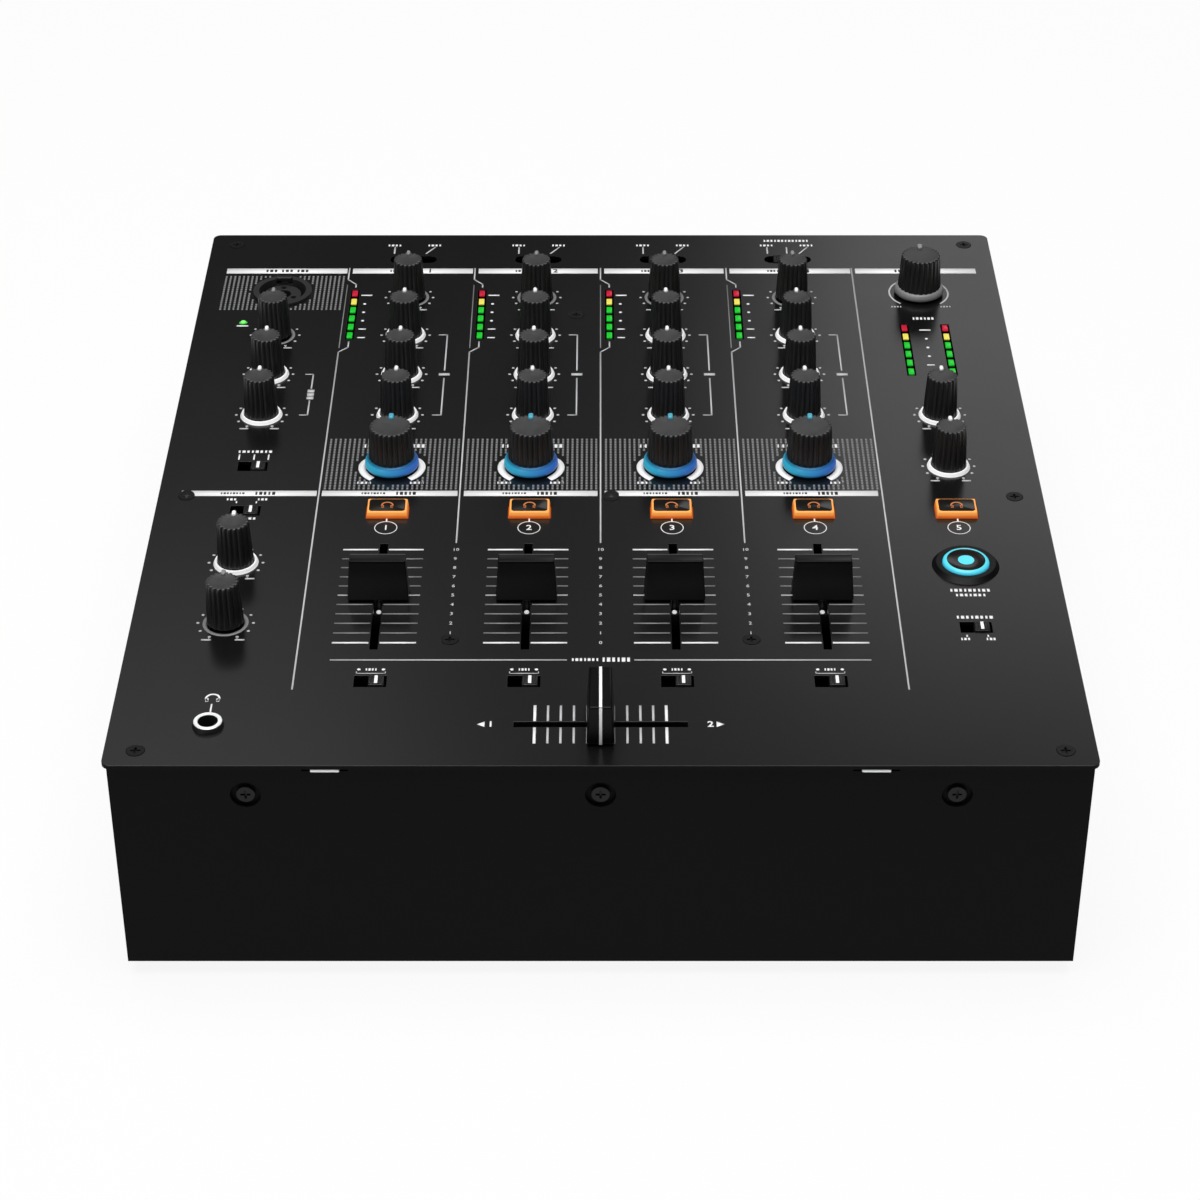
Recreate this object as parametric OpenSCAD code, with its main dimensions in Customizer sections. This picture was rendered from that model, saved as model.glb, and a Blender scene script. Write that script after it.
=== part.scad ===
// Four-channel club mixer with a steel case, fluted knobs, slide faders and lit buttons.
// Millimetres. Origin under the middle of the case on the table, +Z up, front towards -Y.

/* [Case] */
// Width of the deck plate
deck_w = 320; // [312:1:350]
// Depth of the deck plate
deck_d = 358; // [356:1:390]
// Height of the deck's top face above the table
deck_z = 90; // [84:1:120]
// Thickness of the deck plate
plate_t = 1.5; // [1.2:0.1:2.5]
// Radius of the deck plate's corners
deck_corner_r = 3; // [1:0.5:8]
// How far the deck stands out over the front and side walls
overhang = 1.5; // [0.5:0.1:3]
// How far the rear panel is set back under the deck, to shield the sockets
rear_overhang = 11; // [11:0.5:14]
// Thickness of the folded case sheet
sheet_t = 1.5; // [1:0.1:2]
// Width of the folded rim under the deck's sides
side_rim_w = 13; // [11:0.5:16]
// Width of the folded rim under the deck's front edge
front_rim_w = 9; // [7:0.5:11]

/* [Feet] */
// Height of a rubber foot
foot_h = 6; // [4:0.5:12]
// Radius of a rubber foot
foot_r = 9; // [8:0.5:14]
// Distance from the case wall to a foot's centre
foot_inset = 24; // [18:1:50]

/* [Columns and rows] */
// Distance between two channel columns
column_pitch = 51; // [50:0.5:54]
// Distance from the side wall to the microphone and master columns
side_column_inset = 29.3; // [28:0.1:30]
// Distance from the back edge of the case to the input selectors
input_inset = 19.5; // [19:0.5:21]
// Distance from the input selectors down to the gain knobs
gain_step = 31.8; // [30:0.1:33]
// Distance from the gain knobs down to the upper tone knobs
tone_step = 30.1; // [28:0.1:31]
// Distance between two tone knob rows
eq_pitch = 30; // [28:0.5:31]
// Distance from the lowest tone knobs down to the filter knobs
filter_step = 36.1; // [34:0.1:38]
// Distance from the filter knobs down to the cue buttons
cue_step = 29.8; // [28:0.1:31]
// Distance from the front of the case to the crossfader
crossfader_inset = 20.5; // [20:0.5:22]
// Distance from the crossfader up to its assign switches
assign_step = 23.7; // [23:0.1:25]
// Room between a cue button and the end of its fader's slot
fader_top_gap = 16.6; // [12:0.1:20]
// Room between an assign switch's slot and the end of the fader's slot
fader_bottom_gap = 14.9; // [10:0.1:18]
// How far the microphone socket lies behind the gain knobs
mic_socket_step = 4.8; // [3:0.1:6]
// How far the master knob lies behind the gain knobs
master_step = 3.8; // [2:0.1:5]
// How far the cue mix knob lies behind the middle of the faders
cue_mix_step = 20; // [17:0.1:23]
// How far the cue level knob lies in front of the middle of the faders
cue_level_step = 16.6; // [14:0.1:20]
// How far the pairing button lies behind the middle of the faders
pairing_step = 18.2; // [16:0.1:20]
// How far the curve switch lies in front of the middle of the faders
curve_step = 19.1; // [16:0.1:22]

/* [Knobs] */
// Height of a knob's top above the deck
knob_h = 17.5; // [15:0.5:22]
// Gap between the deck and a knob
knob_gap = 1; // [0.5:0.1:2]
// Radius of a small knob at its top
knob_top_r = 5.5; // [5:0.1:6]
// Radius of a small knob at its base
knob_base_r = 6.4; // [6:0.1:7]
// Radius of a large knob at its top
big_top_r = 7.6; // [7:0.1:8]
// Radius of a large knob at its base
big_base_r = 8.4; // [7.8:0.1:8.6]
// Radius of the lit skirt of a filter knob
skirt_r = 9.5; // [9:0.1:10.5]
// Height of the lit skirt of a filter knob
skirt_h = 3.4; // [2.5:0.1:5]
// Radius of the master knob's collar
collar_r = 9.4; // [9:0.1:10.5]
// Height of the master knob's collar
collar_h = 2; // [1.5:0.1:4]
// Width of the white ring round a tone knob's foot
tone_ring_w = 1.3; // [0.8:0.1:1.6]
// Height of the white ring above the deck
tone_ring_h = 1.2; // [0.6:0.1:1.6]
// Flutes round a small knob
flutes = 18; // [14:1:20]
// Flutes round a large knob
big_flutes = 24; // [18:1:28]
// Radius of the groove between two ribs
flute_r = 0.9; // [0.7:0.05:1]
// Depth of the groove between two ribs
flute_depth = 0.45; // [0.3:0.05:0.6]
// Height of the raised pointer on a knob's top
pointer_h = 0.8; // [0.4:0.1:1.5]
// Width of the raised pointer
pointer_w = 1.7; // [1:0.1:2.5]
// Radius of a potentiometer shaft
shaft_r = 3; // [2.5:0.1:3.2]
// Radial clearance of a shaft in its bush
shaft_fit = 0.05; // [0.02:0.01:0.1]

/* [Faders] */
// Travel of the crossfader
crossfader_travel = 45; // [40:1:48]
// Length of the crossfader's slot
crossfader_slot_l = 56.8; // [56:0.2:60]
// Width of a fader slot
fader_slot_w = 2.8; // [2.4:0.1:3.6]
// Length of a fader cap across its travel, at its base
cap_l = 21.8; // [18:0.2:24]
// Length of a fader cap across its travel, at its top
cap_top_l = 20; // [16:0.5:21]
// Length of the crossfader cap at its base
cross_cap_l = 24.2; // [20:0.2:26]
// Length of the crossfader cap at its top
cross_cap_top_l = 22.6; // [18:0.2:24]
// Size of a fader cap along its travel, at its base
cap_d = 9.2; // [7:0.1:11]
// Size of a channel fader's cap along its travel, at its top
cap_top_d = 4.8; // [4:0.1:6]
// How far the top of a channel fader's cap is set back
cap_set_back = 0.9; // [0:0.1:1.2]
// Size of the crossfader's cap along its travel, at its top
cross_cap_top_d = 7.6; // [6:0.1:8.4]
// Height of a fader cap's top above the deck
cap_h = 15.2; // [12:0.2:20]
// Gap between the deck and a fader cap
cap_gap = 0.8; // [0.5:0.1:1.5]
// Thickness of a fader lever across its slot
lever_t = 1.6; // [1.2:0.1:1.8]
// Size of a fader lever along its slot
lever_l = 3.2; // [2.5:0.1:4]

/* [Buttons and switches] */
// Width of a cue button at its base
cue_w = 14.8; // [12:0.2:18]
// Depth of a cue button at its base
cue_d = 9.6; // [8:0.2:10]
// Height of a cue button above the deck
cue_h = 2.3; // [1.5:0.1:4]
// How far a cue button's sides lean in
cue_lean = 0.4; // [0.2:0.1:1.5]
// Travel of a button
button_travel = 0.9; // [0.5:0.1:1]
// Radius of the pairing button
pairing_r = 8.2; // [7.8:0.1:9]
// Height of the pairing button above the deck
pairing_h = 2.7; // [2.2:0.1:4]
// Radius of the bezel round the pairing button
bezel_r = 11.8; // [11:0.1:14]
// Height of the bezel round the pairing button
bezel_h = 1.6; // [1:0.1:2]
// Length of a small slide switch's slot
switch_slot_l = 10.9; // [10.6:0.1:12]
// Width of a small slide switch's slot
switch_slot_w = 6.4; // [6.2:0.1:7]
// Travel of a small slide switch
switch_travel = 4; // [3:0.1:4.4]
// Length of an input selector's slot
input_slot_l = 19; // [16:0.5:20]
// Width of an input selector's slot
input_slot_w = 5.8; // [5.8:0.1:6.4]
// Travel of an input selector
input_travel = 6.4; // [4:0.1:8]
// Length of a switch nub along its slot
nub_l = 5.2; // [4:0.1:5.4]
// Width of a switch nub across its slot
nub_w = 5.2; // [4:0.1:5.4]
// Height of a switch nub above the deck
nub_h = 0.9; // [0.5:0.1:1.5]

/* [Level meters] */
// Distance between two lights of a meter
led_pitch = 6.7; // [6:0.1:7]
// Lights in one meter
led_count = 6; // [4:1:6]
// Width of one light
led_w = 2.2; // [1.6:0.1:2.6]
// Length of one light
led_l = 4.4; // [3.5:0.1:5]
// How far a light stands above the deck
led_h = 0.2; // [0.1:0.05:0.5]
// Distance from a channel's column to its meter
meter_offset = 22; // [20:0.5:23]
// Distance from the master column to each of its two meters
master_meter_offset = 8; // [7:0.5:9]
// Distance from the gain knobs down to the middle of the channel meters
meter_step = 13.45; // [12:0.05:15]
// Distance from the master knob down to the middle of its meters
master_meter_step = 45.1; // [44:0.1:46]

/* [Sockets] */
// Radius of the bore that takes a 6.35 mm plug
jack_bore_r = 3.25; // [3.2:0.01:3.4]
// Length of the plug bore
jack_bore_l = 20; // [15:1:24]
// Radius of the headphone socket's collar
headphone_collar_r = 5.3; // [5:0.1:7]
// Height of the headphone socket's collar
headphone_collar_h = 1.7; // [1:0.1:3]
// Radius of the microphone socket's flange
mic_flange_r = 11.7; // [11.5:0.1:13]
// Radius of the microphone socket's barrel
mic_barrel_r = 11; // [10.8:0.1:11.2]
// Radius of the microphone socket's inner core
mic_core_r = 7.3; // [6.8:0.1:7.6]
// Outer radius of a phono socket
rca_r = 4.15; // [4:0.05:4.5]
// How far a phono socket stands out of the rear panel
rca_l = 8.5; // [7:0.1:9]
// Distance between the two phono rows
rca_row_pitch = 18; // [16:0.5:20]
// Radius of the hollow of an output socket
xlr_r = 9; // [8.5:0.1:9.5]

/* [Hidden] */
$fn = 48;
eps = 0.01;
play = 0.3;                      // running gap between flat moving parts
fit = 0.1;                       // gap round a screw or a fixed insert
plate_bottom = deck_z - plate_t;
board_t = 1.6;
board_top = plate_bottom - 12.5; // the control board hangs this far under the deck
board_bottom = board_top - board_t;
case_w = deck_w - 2 * overhang;
case_front_y = -deck_d / 2 + overhang;
case_back_y = deck_d / 2 - overhang;     // back edges of the side walls and the floor
case_rear_y = deck_d / 2 - rear_overhang; // outer face of the rear panel
floor_top = foot_h + sheet_t;
inner_x = case_w / 2 - sheet_t;
inner_front_y = case_front_y + sheet_t;
panel_inner_y = case_rear_y - sheet_t;

channels = [0 : 3];
function channel_x(c) = (c - 1.5) * column_pitch;
side_column_x = inner_x - side_column_inset;

// rows, knobs from the back of the case and faders from its front
input_row_y = case_back_y - input_inset;
gain_row_y = input_row_y - gain_step;
high_row_y = gain_row_y - tone_step;
mid_row_y = high_row_y - eq_pitch;
low_row_y = mid_row_y - eq_pitch;
filter_row_y = low_row_y - filter_step;
cue_row_y = filter_row_y - cue_step;
crossfader_y = case_front_y + crossfader_inset;
assign_row_y = crossfader_y + assign_step;
fader_top_y = cue_row_y - cue_d / 2 - fader_top_gap;
fader_bottom_y = assign_row_y + switch_slot_w / 2 + fader_bottom_gap;
fader_row_y = (fader_top_y + fader_bottom_y) / 2;
mic_socket_y = gain_row_y + mic_socket_step;
master_y = gain_row_y + master_step;
cue_mix_y = fader_row_y + cue_mix_step;
cue_level_y = fader_row_y - cue_level_step;
pairing_y = fader_row_y + pairing_step;
curve_y = fader_row_y - curve_step;
meter_y = gain_row_y - meter_step;
master_meter_y = master_y - master_meter_step;

// knob places, by column
mic_knobs = [for (y = [high_row_y, mid_row_y, low_row_y]) [-side_column_x, y]];
function strip_knobs(y) = [for (c = channels) [channel_x(c), y]];
booth_spot = [side_column_x, low_row_y];
balance_spot = [side_column_x, filter_row_y];
master_spot = [side_column_x, master_y];
cue_mix_spot = [-side_column_x, cue_mix_y];
cue_level_spot = [-side_column_x, cue_level_y];
strip_rows = [gain_row_y, high_row_y, mid_row_y, low_row_y, filter_row_y];
knob_spots = concat(mic_knobs, [for (y = strip_rows) each strip_knobs(y)],
                    [booth_spot, balance_spot, master_spot, cue_mix_spot, cue_level_spot]);
tone_rows = [high_row_y, mid_row_y, low_row_y];
ringed_spots = concat([mic_knobs[1], mic_knobs[2], booth_spot, balance_spot, cue_mix_spot],
                      [for (y = tone_rows) each strip_knobs(y)]);
tone_ring_gap = 0.2;             // gap between a white ring and the knob inside it

// buttons and switches
cue_spots = [for (x = [for (c = channels) channel_x(c), side_column_x]) [x, cue_row_y]];
pairing_spot = [side_column_x, pairing_y];
switch_rest = switch_travel / 2; // the small switches rest at the right end
input_rest = -input_travel / 2;  // the input selectors rest at the left end
assign_spots = [for (c = channels) [channel_x(c), assign_row_y]];
mic_switch_spot = [-side_column_x, filter_row_y];
split_spot = [-side_column_x, cue_row_y];
curve_spot = [side_column_x, curve_y];
switch_spots = concat(assign_spots, [mic_switch_spot, split_spot, curve_spot]);
input_spots = [for (c = channels) [channel_x(c), input_row_y]];

// meters
meter_l = (led_count - 1) * led_pitch + led_l + 1.2;
meter_w = led_w + 0.8;
meter_spots = concat([for (c = channels) [channel_x(c) - meter_offset, meter_y]],
                     [for (s = [-1, 1]) [side_column_x + s * master_meter_offset, master_meter_y]]);
power_led_side = 13.5;
power_led_rise = 10.3;
power_led_spot = [-side_column_x - power_led_side, high_row_y + power_led_rise];
power_led_r = 1.6;
led_sink = 0.4;                  // how far a light reaches into the deck

// faders
lever_gap = 0.4;                 // gap between a lever at its stop and its slot's end
channel_slot_l = fader_top_y - fader_bottom_y;
fader_travel = channel_slot_l - lever_l - 2 * lever_gap;
carriage_w = 8;
carriage_l = 8.8;
carriage_h = 6.6;
carriage_z = plate_bottom - 3.5;  // top of a carriage
fader_body_w = 12.2;
fader_body_end = 10;

// sockets
headphone_spot = [-side_column_x, crossfader_y - 0.5];
mic_spot = [-side_column_x, mic_socket_y];
mic_flange_h = 0.9;
latch_w = 6;
latch_l = 2;
latch_travel = 0.8;
latch_y = mic_barrel_r - 1.4;    // the latch's place in front of the socket's centre line
rear_end_inset = 19;             // from the side wall to the booth sockets and the rocker
xlr_inset = 49;                  // from the side wall to the outer output socket
inlet_inset = 55;
xlr_pitch = 30;
xlr_flange_w = 26;
xlr_flange_h = 31;
xlr_x = xlr_inset + xlr_pitch - inner_x;
inlet_x = inner_x - inlet_inset;
rca_xlr_gap = 26;                // from the inner output socket to the nearest phono socket
rca_inlet_gap = 42;              // from the mains inlet to the nearest phono socket
rca_first_x = xlr_x + rca_xlr_gap;
rca_last_x = inlet_x - rca_inlet_gap;
rca_count = 8;
rca_pitch = (rca_last_x - rca_first_x) / (rca_count - 1);
rca_x = [for (i = [0 : rca_count - 1]) rca_first_x + i * rca_pitch];
rca_z = floor_top + 26;
rca_body = 10;                   // side of a phono socket's block behind the panel
xlr_spots = [for (s = [0, 1]) [xlr_x - s * xlr_pitch, rca_z + rca_row_pitch / 2]];
booth_spots = [for (s = [0, 1]) [rear_end_inset - inner_x, rca_z + s * rca_row_pitch]];
xlr_depth = 15;
inlet_w = 27;
inlet_h = 20;
inlet_depth = 16;
inlet_spot = [inlet_x, rca_z + rca_row_pitch / 2];
rocker_spot = [inner_x - rear_end_inset, rca_z + rca_row_pitch / 2];
rocker_w = 12;
rocker_r = 9;
rocker_y = case_rear_y - 4.5;    // the rocker's axis
rocker_tilt = 10;

// screws
screw_r = 1.5;
screw_head_r = 3;
screw_l = 7;
corner_x = case_w / 2 - 8.8;
corner_front_y = case_front_y + 6.5;
corner_back_y = case_back_y - 7;
rim_screws = [[-corner_x, corner_front_y], [corner_x, corner_front_y],
              [-corner_x, corner_back_y], [corner_x, corner_back_y],
              [-corner_x, filter_row_y - 20], [corner_x, filter_row_y - 20.6]];
stud_screws = [[-9.6, gain_row_y - 14], [3.8, filter_row_y - 20.6],
               [-column_pitch, fader_row_y - 26.3], [column_pitch, fader_row_y - 26.3]];
front_screw_x = [-114.5, 0, 115];
front_screw_z = deck_z - 13;
dimple_r = 5;
dimple_depth = 1.5;
notch_x = 88.5;
notch_w = 15;
tab_w = 14;
tab_h = 20;
tab_y = inner_front_y + dimple_depth; // the deck's tabs stand behind the dimples
foot_spots = [for (x = [-1, 1], y = [case_front_y + foot_inset, case_back_y - foot_inset])
                 [x * (case_w / 2 - foot_inset), y]];
rear_flange_w = 11;              // upright flanges that carry the rear panel
panel_screws = [for (x = [-1, 1], z = [floor_top + 12, plate_bottom - 14])
                   [x * (inner_x - rear_flange_w / 2 - 0.5), z]];

// boards
board_x = inner_x - 12;
board_rear_y = panel_inner_y - 3;
board_front_y = assign_row_y - 5.7;
cross_board_w = 116;
cross_board_d = 25;
stud_r = 3;
strip_edge_x = (channel_x(3) + side_column_x) / 2;
board_corner_x = board_x - 5;
plain_studs = concat([for (x = [-1, 1], y = [input_row_y - 6, filter_row_y + 20, fader_row_y - 16.8])
                          [x * strip_edge_x, y]],
                     [[-board_corner_x, fader_row_y - 36.8], [board_corner_x, assign_row_y + 1.3],
                      [0, mid_row_y - 6.1]]);
cross_studs = [for (x = [-1, 1], y = [-1, 1]) [x * 52, crossfader_y + y * 6.5]];
supply_w = 150;
supply_d = 100;
supply_spot = [60, 70];
supply_stud_h = 6;
coil_r = 30;
coil_h = 26;
reservoir_r = 8;
reservoir_h = 20;
sink_t = 8;
sink_l = 70;
sink_h = 22;

function numbered(base) = [for (c = channels) str(base, c + 1)];

// ---- shared shapes ----

module rounded_rect(w, d, r) {
    square([w - 2 * r, d], center = true);
    square([w, d - 2 * r], center = true);
    for (x = [-1, 1], y = [-1, 1]) translate([x * (w / 2 - r), y * (d / 2 - r)]) circle(r);
}

module rounded_plate(w, d, r, h) {
    linear_extrude(h) rounded_rect(w, d, r);
}

module box(w, d, h) {
    translate([-w / 2, -d / 2, 0]) cube([w, d, h]);
}

// straight cutter through the deck, a little proud of both faces
module deck_cut(spot) {
    translate([spot.x, spot.y, plate_bottom - 1]) children();
}

// block whose sides lean in from base to top; set_back moves the top along +Y
module tapered_block(w0, d0, w1, d1, h, set_back = 0) {
    intersection() {
        rotate([90, 0, 0]) translate([0, 0, -d0 / 2 - 1]) linear_extrude(d0 + 2)
            polygon([[-w0 / 2, 0], [w0 / 2, 0], [w1 / 2, h], [-w1 / 2, h]]);
        rotate([90, 0, 90]) translate([0, 0, -w0 / 2 - 1]) linear_extrude(w0 + 2)
            polygon([[-d0 / 2, 0], [d0 / 2, 0], [d1 / 2 + set_back, h], [-d1 / 2 + set_back, h]]);
    }
}

// stands a shape modelled along +Z on the rear panel's outer face, pointing back
module on_rear(spot, y = case_rear_y) {
    translate([spot[0], y, spot[1]]) rotate([-90, 0, 0]) children();
}

// ---- knobs ----

module fluted_body(top_r, base_r, h, count) {
    lean = atan((base_r - top_r) / h);
    difference() {
        cylinder(h = h, r1 = base_r, r2 = top_r);
        for (i = [0 : count - 1])
            rotate([0, 0, (i + 0.5) * 360 / count])
                translate([base_r + flute_r - flute_depth, 0, 0])
                    rotate([0, -lean, 0])
                        translate([0, 0, -1]) cylinder(h = h + 3, r = flute_r, $fn = 24);
    }
}

module pointer(top_r) {
    translate([-pointer_w / 2, top_r * 0.45, 0]) cube([pointer_w, top_r * 0.55, pointer_h]);
}

module knob_shaft(spot) {
    bottom = board_top + 2.3;
    translate([spot.x, spot.y, bottom])
        cylinder(h = deck_z + knob_h - 4 - bottom, r = shaft_r);
}

// cap with a blind bore for its shaft; the first flutes start above the foot
module knob_cap(top_r, base_r, foot, count) {
    h = knob_h - knob_gap;
    difference() {
        union() {
            translate([0, 0, foot]) fluted_body(top_r, base_r, h - foot, count);
            if (foot > 0) cylinder(h = foot + eps, r = shaft_r + 2);
            translate([0, 0, h - eps]) pointer(top_r);
        }
        translate([0, 0, -1]) cylinder(h = h - 4 + 1 + play, r = shaft_r + shaft_fit);
    }
}

module knob_place(spot) {
    translate([spot.x, spot.y, deck_z + knob_gap]) children();
}

module small_knob(spot) {
    color([0.09, 0.09, 0.1]) knob_place(spot) knob_cap(knob_top_r, knob_base_r, 0, flutes);
    color([0.6, 0.6, 0.62]) knob_shaft(spot);
}

// tapered ring round a knob's foot
module skirt(r0, r1, h) {
    difference() {
        cylinder(h = h - fit, r1 = r0, r2 = r1);
        translate([0, 0, -1]) cylinder(h = h + 2, r = shaft_r + 2 + fit);
    }
}

module large_knob(spot, base_r, ring_r, ring_h) {
    color([0.09, 0.09, 0.1]) knob_place(spot) knob_cap(big_top_r, base_r, ring_h, big_flutes);
    knob_place(spot) skirt(ring_r, base_r + 0.2, ring_h);
    color([0.6, 0.6, 0.62]) knob_shaft(spot);
}

module filter_knob(spot) {
    color([0.2, 0.5, 0.85]) large_knob(spot, big_base_r, skirt_r, skirt_h);
}

module master_knob() {
    color([0.45, 0.45, 0.46]) large_knob(master_spot, big_base_r + 0.2, collar_r, collar_h);
}

module mic_level_knob() { small_knob(mic_knobs[0]); }
module mic_high_knob() { small_knob(mic_knobs[1]); }
module mic_low_knob() { small_knob(mic_knobs[2]); }
module booth_knob() { small_knob(booth_spot); }
module balance_knob() { small_knob(balance_spot); }
module cue_mix_knob() { small_knob(cue_mix_spot); }
module cue_level_knob() { small_knob(cue_level_spot); }
module gain_knob(c) { small_knob([channel_x(c), gain_row_y]); }
module high_knob(c) { small_knob([channel_x(c), high_row_y]); }
module mid_knob(c) { small_knob([channel_x(c), mid_row_y]); }
module low_knob(c) { small_knob([channel_x(c), low_row_y]); }

// ---- faders, running along Y ----

module fader_slider(base_l, top_l, top_d, set_back) {
    lever_bottom = carriage_z - 1;
    lever_top = deck_z + cap_h - 4;
    color([0.9, 0.9, 0.88]) {
        translate([0, 0, carriage_z - carriage_h]) box(carriage_w, carriage_l, carriage_h);
        translate([0, 0, lever_bottom]) box(lever_t, lever_l, lever_top - lever_bottom);
    }
    color([0.06, 0.06, 0.06]) translate([0, 0, deck_z + cap_gap]) difference() {
        tapered_block(base_l, cap_d, top_l, top_d, cap_h - cap_gap, set_back);
        translate([0, 0, -1])
            box(lever_t + 2 * fit, lever_l + 2 * fit, cap_h - cap_gap - 4 + 1 + play);
    }
}

module channel_fader(c) {
    translate([channel_x(c), fader_row_y, 0])
        fader_slider(cap_l, cap_top_l, cap_top_d, cap_set_back);
}

module crossfader() {
    translate([0, crossfader_y, 0]) rotate([0, 0, 90])
        fader_slider(cross_cap_l, cross_cap_top_l, cross_cap_top_d, 0);
}

// fixed track of a fader, seated on its board
module fader_track(travel) {
    hollow_l = travel + carriage_l + 2 * 0.5;
    top = plate_bottom - 1;
    difference() {
        translate([0, 0, board_top]) box(fader_body_w, hollow_l + 2 * fader_body_end, top - board_top);
        translate([0, 0, carriage_z - carriage_h - play])
            box(carriage_w + 2 * play, hollow_l, carriage_h + 2 * play);
        translate([0, 0, carriage_z]) box(4, hollow_l, top - carriage_z + 1);
    }
}

// ---- buttons ----

module button_stem() {
    bottom = board_top + 3.4;
    translate([0, 0, bottom]) cylinder(h = plate_bottom - 1 - bottom, r = 1.7);
}

module cue_button(spot) {
    color([0.95, 0.55, 0.2]) translate([spot.x, spot.y, 0]) {
        translate([0, 0, deck_z - eps])
            tapered_block(cue_w, cue_d, cue_w - 2 * cue_lean, cue_d - 2 * cue_lean, cue_h);
        translate([0, 0, plate_bottom - 1.4]) box(cue_w, cue_d, plate_t + 1.4);
        translate([0, 0, plate_bottom - 1.4]) box(cue_w + 1.8, cue_d + 1.4, 1);
        button_stem();
    }
}

module pairing_button() {
    color([0.3, 0.85, 0.95]) translate([pairing_spot.x, pairing_spot.y, 0]) {
        translate([0, 0, deck_z + bezel_h])
            cylinder(h = pairing_h - bezel_h, r1 = pairing_r, r2 = pairing_r - 1.4);
        translate([0, 0, plate_bottom - 1.4])
            cylinder(h = deck_z + bezel_h - plate_bottom + 1.4 + eps, r = pairing_r);
        translate([0, 0, plate_bottom - 1.4]) cylinder(h = 1, r = pairing_r + 0.9);
        button_stem();
    }
}

module tact_switch(spot) {
    translate([spot.x, spot.y, board_top]) difference() {
        box(7, 7, 4.6);
        translate([0, 0, 2.2]) cylinder(h = 4, r = 1.7 + play);
    }
}

// ---- slide switches ----

module nub(spot, rest) {
    bottom = board_top + 6.5 + play;
    color([0.12, 0.12, 0.13]) translate([spot.x + rest, spot.y, bottom])
        box(nub_l, nub_w, deck_z + nub_h - bottom);
}

module switch_body(spot, slot_l) {
    translate([spot.x, spot.y, board_top]) difference() {
        box(slot_l + 5, nub_w + 3.2, plate_bottom - play - board_top);
        translate([0, 0, 6.5]) box(slot_l + 1, nub_w + 1.2, 10);
    }
}

module input_switch(c) { nub(input_spots[c], input_rest); }
module assign_switch(c) { nub(assign_spots[c], switch_rest); }
module mic_switch() { nub(mic_switch_spot, switch_rest); }
module split_switch() { nub(split_spot, switch_rest); }
module curve_switch() { nub(curve_spot, switch_rest); }

// ---- case ----

module countersink(spot) {
    translate([spot.x, spot.y, plate_bottom]) {
        translate([0, 0, -1]) cylinder(h = plate_t + 2, r = screw_r + fit);
        cylinder(h = plate_t + eps, r1 = screw_r + fit, r2 = screw_head_r + fit);
    }
}

module deck_openings() {
    for (s = knob_spots) deck_cut(s) cylinder(h = plate_t + 2, r = shaft_r + 1.2);
    for (c = channels)
        deck_cut([channel_x(c), fader_row_y]) box(fader_slot_w, channel_slot_l, plate_t + 2);
    deck_cut([0, crossfader_y]) box(crossfader_slot_l, fader_slot_w, plate_t + 2);
    for (s = cue_spots) deck_cut(s) box(cue_w + 2 * play, cue_d + 2 * play, plate_t + 2);
    deck_cut(pairing_spot) cylinder(h = plate_t + 2, r = pairing_r + play);
    for (s = switch_spots) deck_cut(s) box(switch_slot_l, switch_slot_w, plate_t + 2);
    for (s = input_spots)
        deck_cut(s) rounded_plate(input_slot_l, input_slot_w, input_slot_w / 2 - eps, plate_t + 2);
    for (s = meter_spots) deck_cut(s) box(meter_w + 0.4, meter_l + 0.4, plate_t + 2);
    deck_cut(power_led_spot) cylinder(h = plate_t + 2, r = power_led_r + fit);
    deck_cut(headphone_spot) cylinder(h = plate_t + 2, r = headphone_collar_r - 0.6);
    deck_cut(mic_spot) cylinder(h = plate_t + 2, r = mic_barrel_r + fit);
    for (s = concat(rim_screws, stud_screws)) countersink(s);
}

// tab folded down behind the front wall, with a hole for its screw
module front_tab(x) {
    translate([x, 0, 0]) difference() {
        translate([-tab_w / 2, tab_y, deck_z - tab_h]) cube([tab_w, sheet_t, tab_h - plate_t + eps]);
        translate([0, tab_y - 1, front_screw_z]) rotate([-90, 0, 0])
            cylinder(h = sheet_t + 2, r = screw_r + fit);
    }
}

module pairing_bezel() {
    translate([pairing_spot.x, pairing_spot.y, deck_z - eps]) difference() {
        cylinder(h = bezel_h, r1 = bezel_r, r2 = bezel_r - 1.4);
        translate([0, 0, -1]) cylinder(h = bezel_h + 2, r = pairing_r + play);
    }
}

module tone_ring(spot) {
    translate([spot.x, spot.y, deck_z - eps]) difference() {
        cylinder(h = tone_ring_h + eps, r = knob_base_r + tone_ring_gap + tone_ring_w);
        translate([0, 0, -1]) cylinder(h = tone_ring_h + 2, r = knob_base_r + tone_ring_gap);
    }
}

module faceplate() {
    color([0.08, 0.08, 0.085]) {
        difference() {
            translate([0, 0, plate_bottom])
                rounded_plate(deck_w, deck_d, deck_corner_r, plate_t);
            deck_openings();
        }
        for (x = front_screw_x) front_tab(x);
        pairing_bezel();
        for (s = ringed_spots) tone_ring(s);
    }
}

module side_rim(side) {
    x0 = side > 0 ? inner_x - side_rim_w : -inner_x - eps;
    translate([x0, inner_front_y, plate_bottom - sheet_t])
        cube([side_rim_w + eps, case_back_y - inner_front_y, sheet_t]);
}

module rear_flange(side) {
    x0 = side > 0 ? inner_x - rear_flange_w : -inner_x - eps;
    translate([x0, panel_inner_y - sheet_t, floor_top - eps])
        cube([rear_flange_w + eps, sheet_t, plate_bottom - sheet_t - floor_top + 2 * eps]);
}

module dimple_cup(x) {
    translate([x, case_front_y, front_screw_z]) rotate([-90, 0, 0])
        cylinder(h = sheet_t + dimple_depth, r = dimple_r + sheet_t);
}

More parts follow.
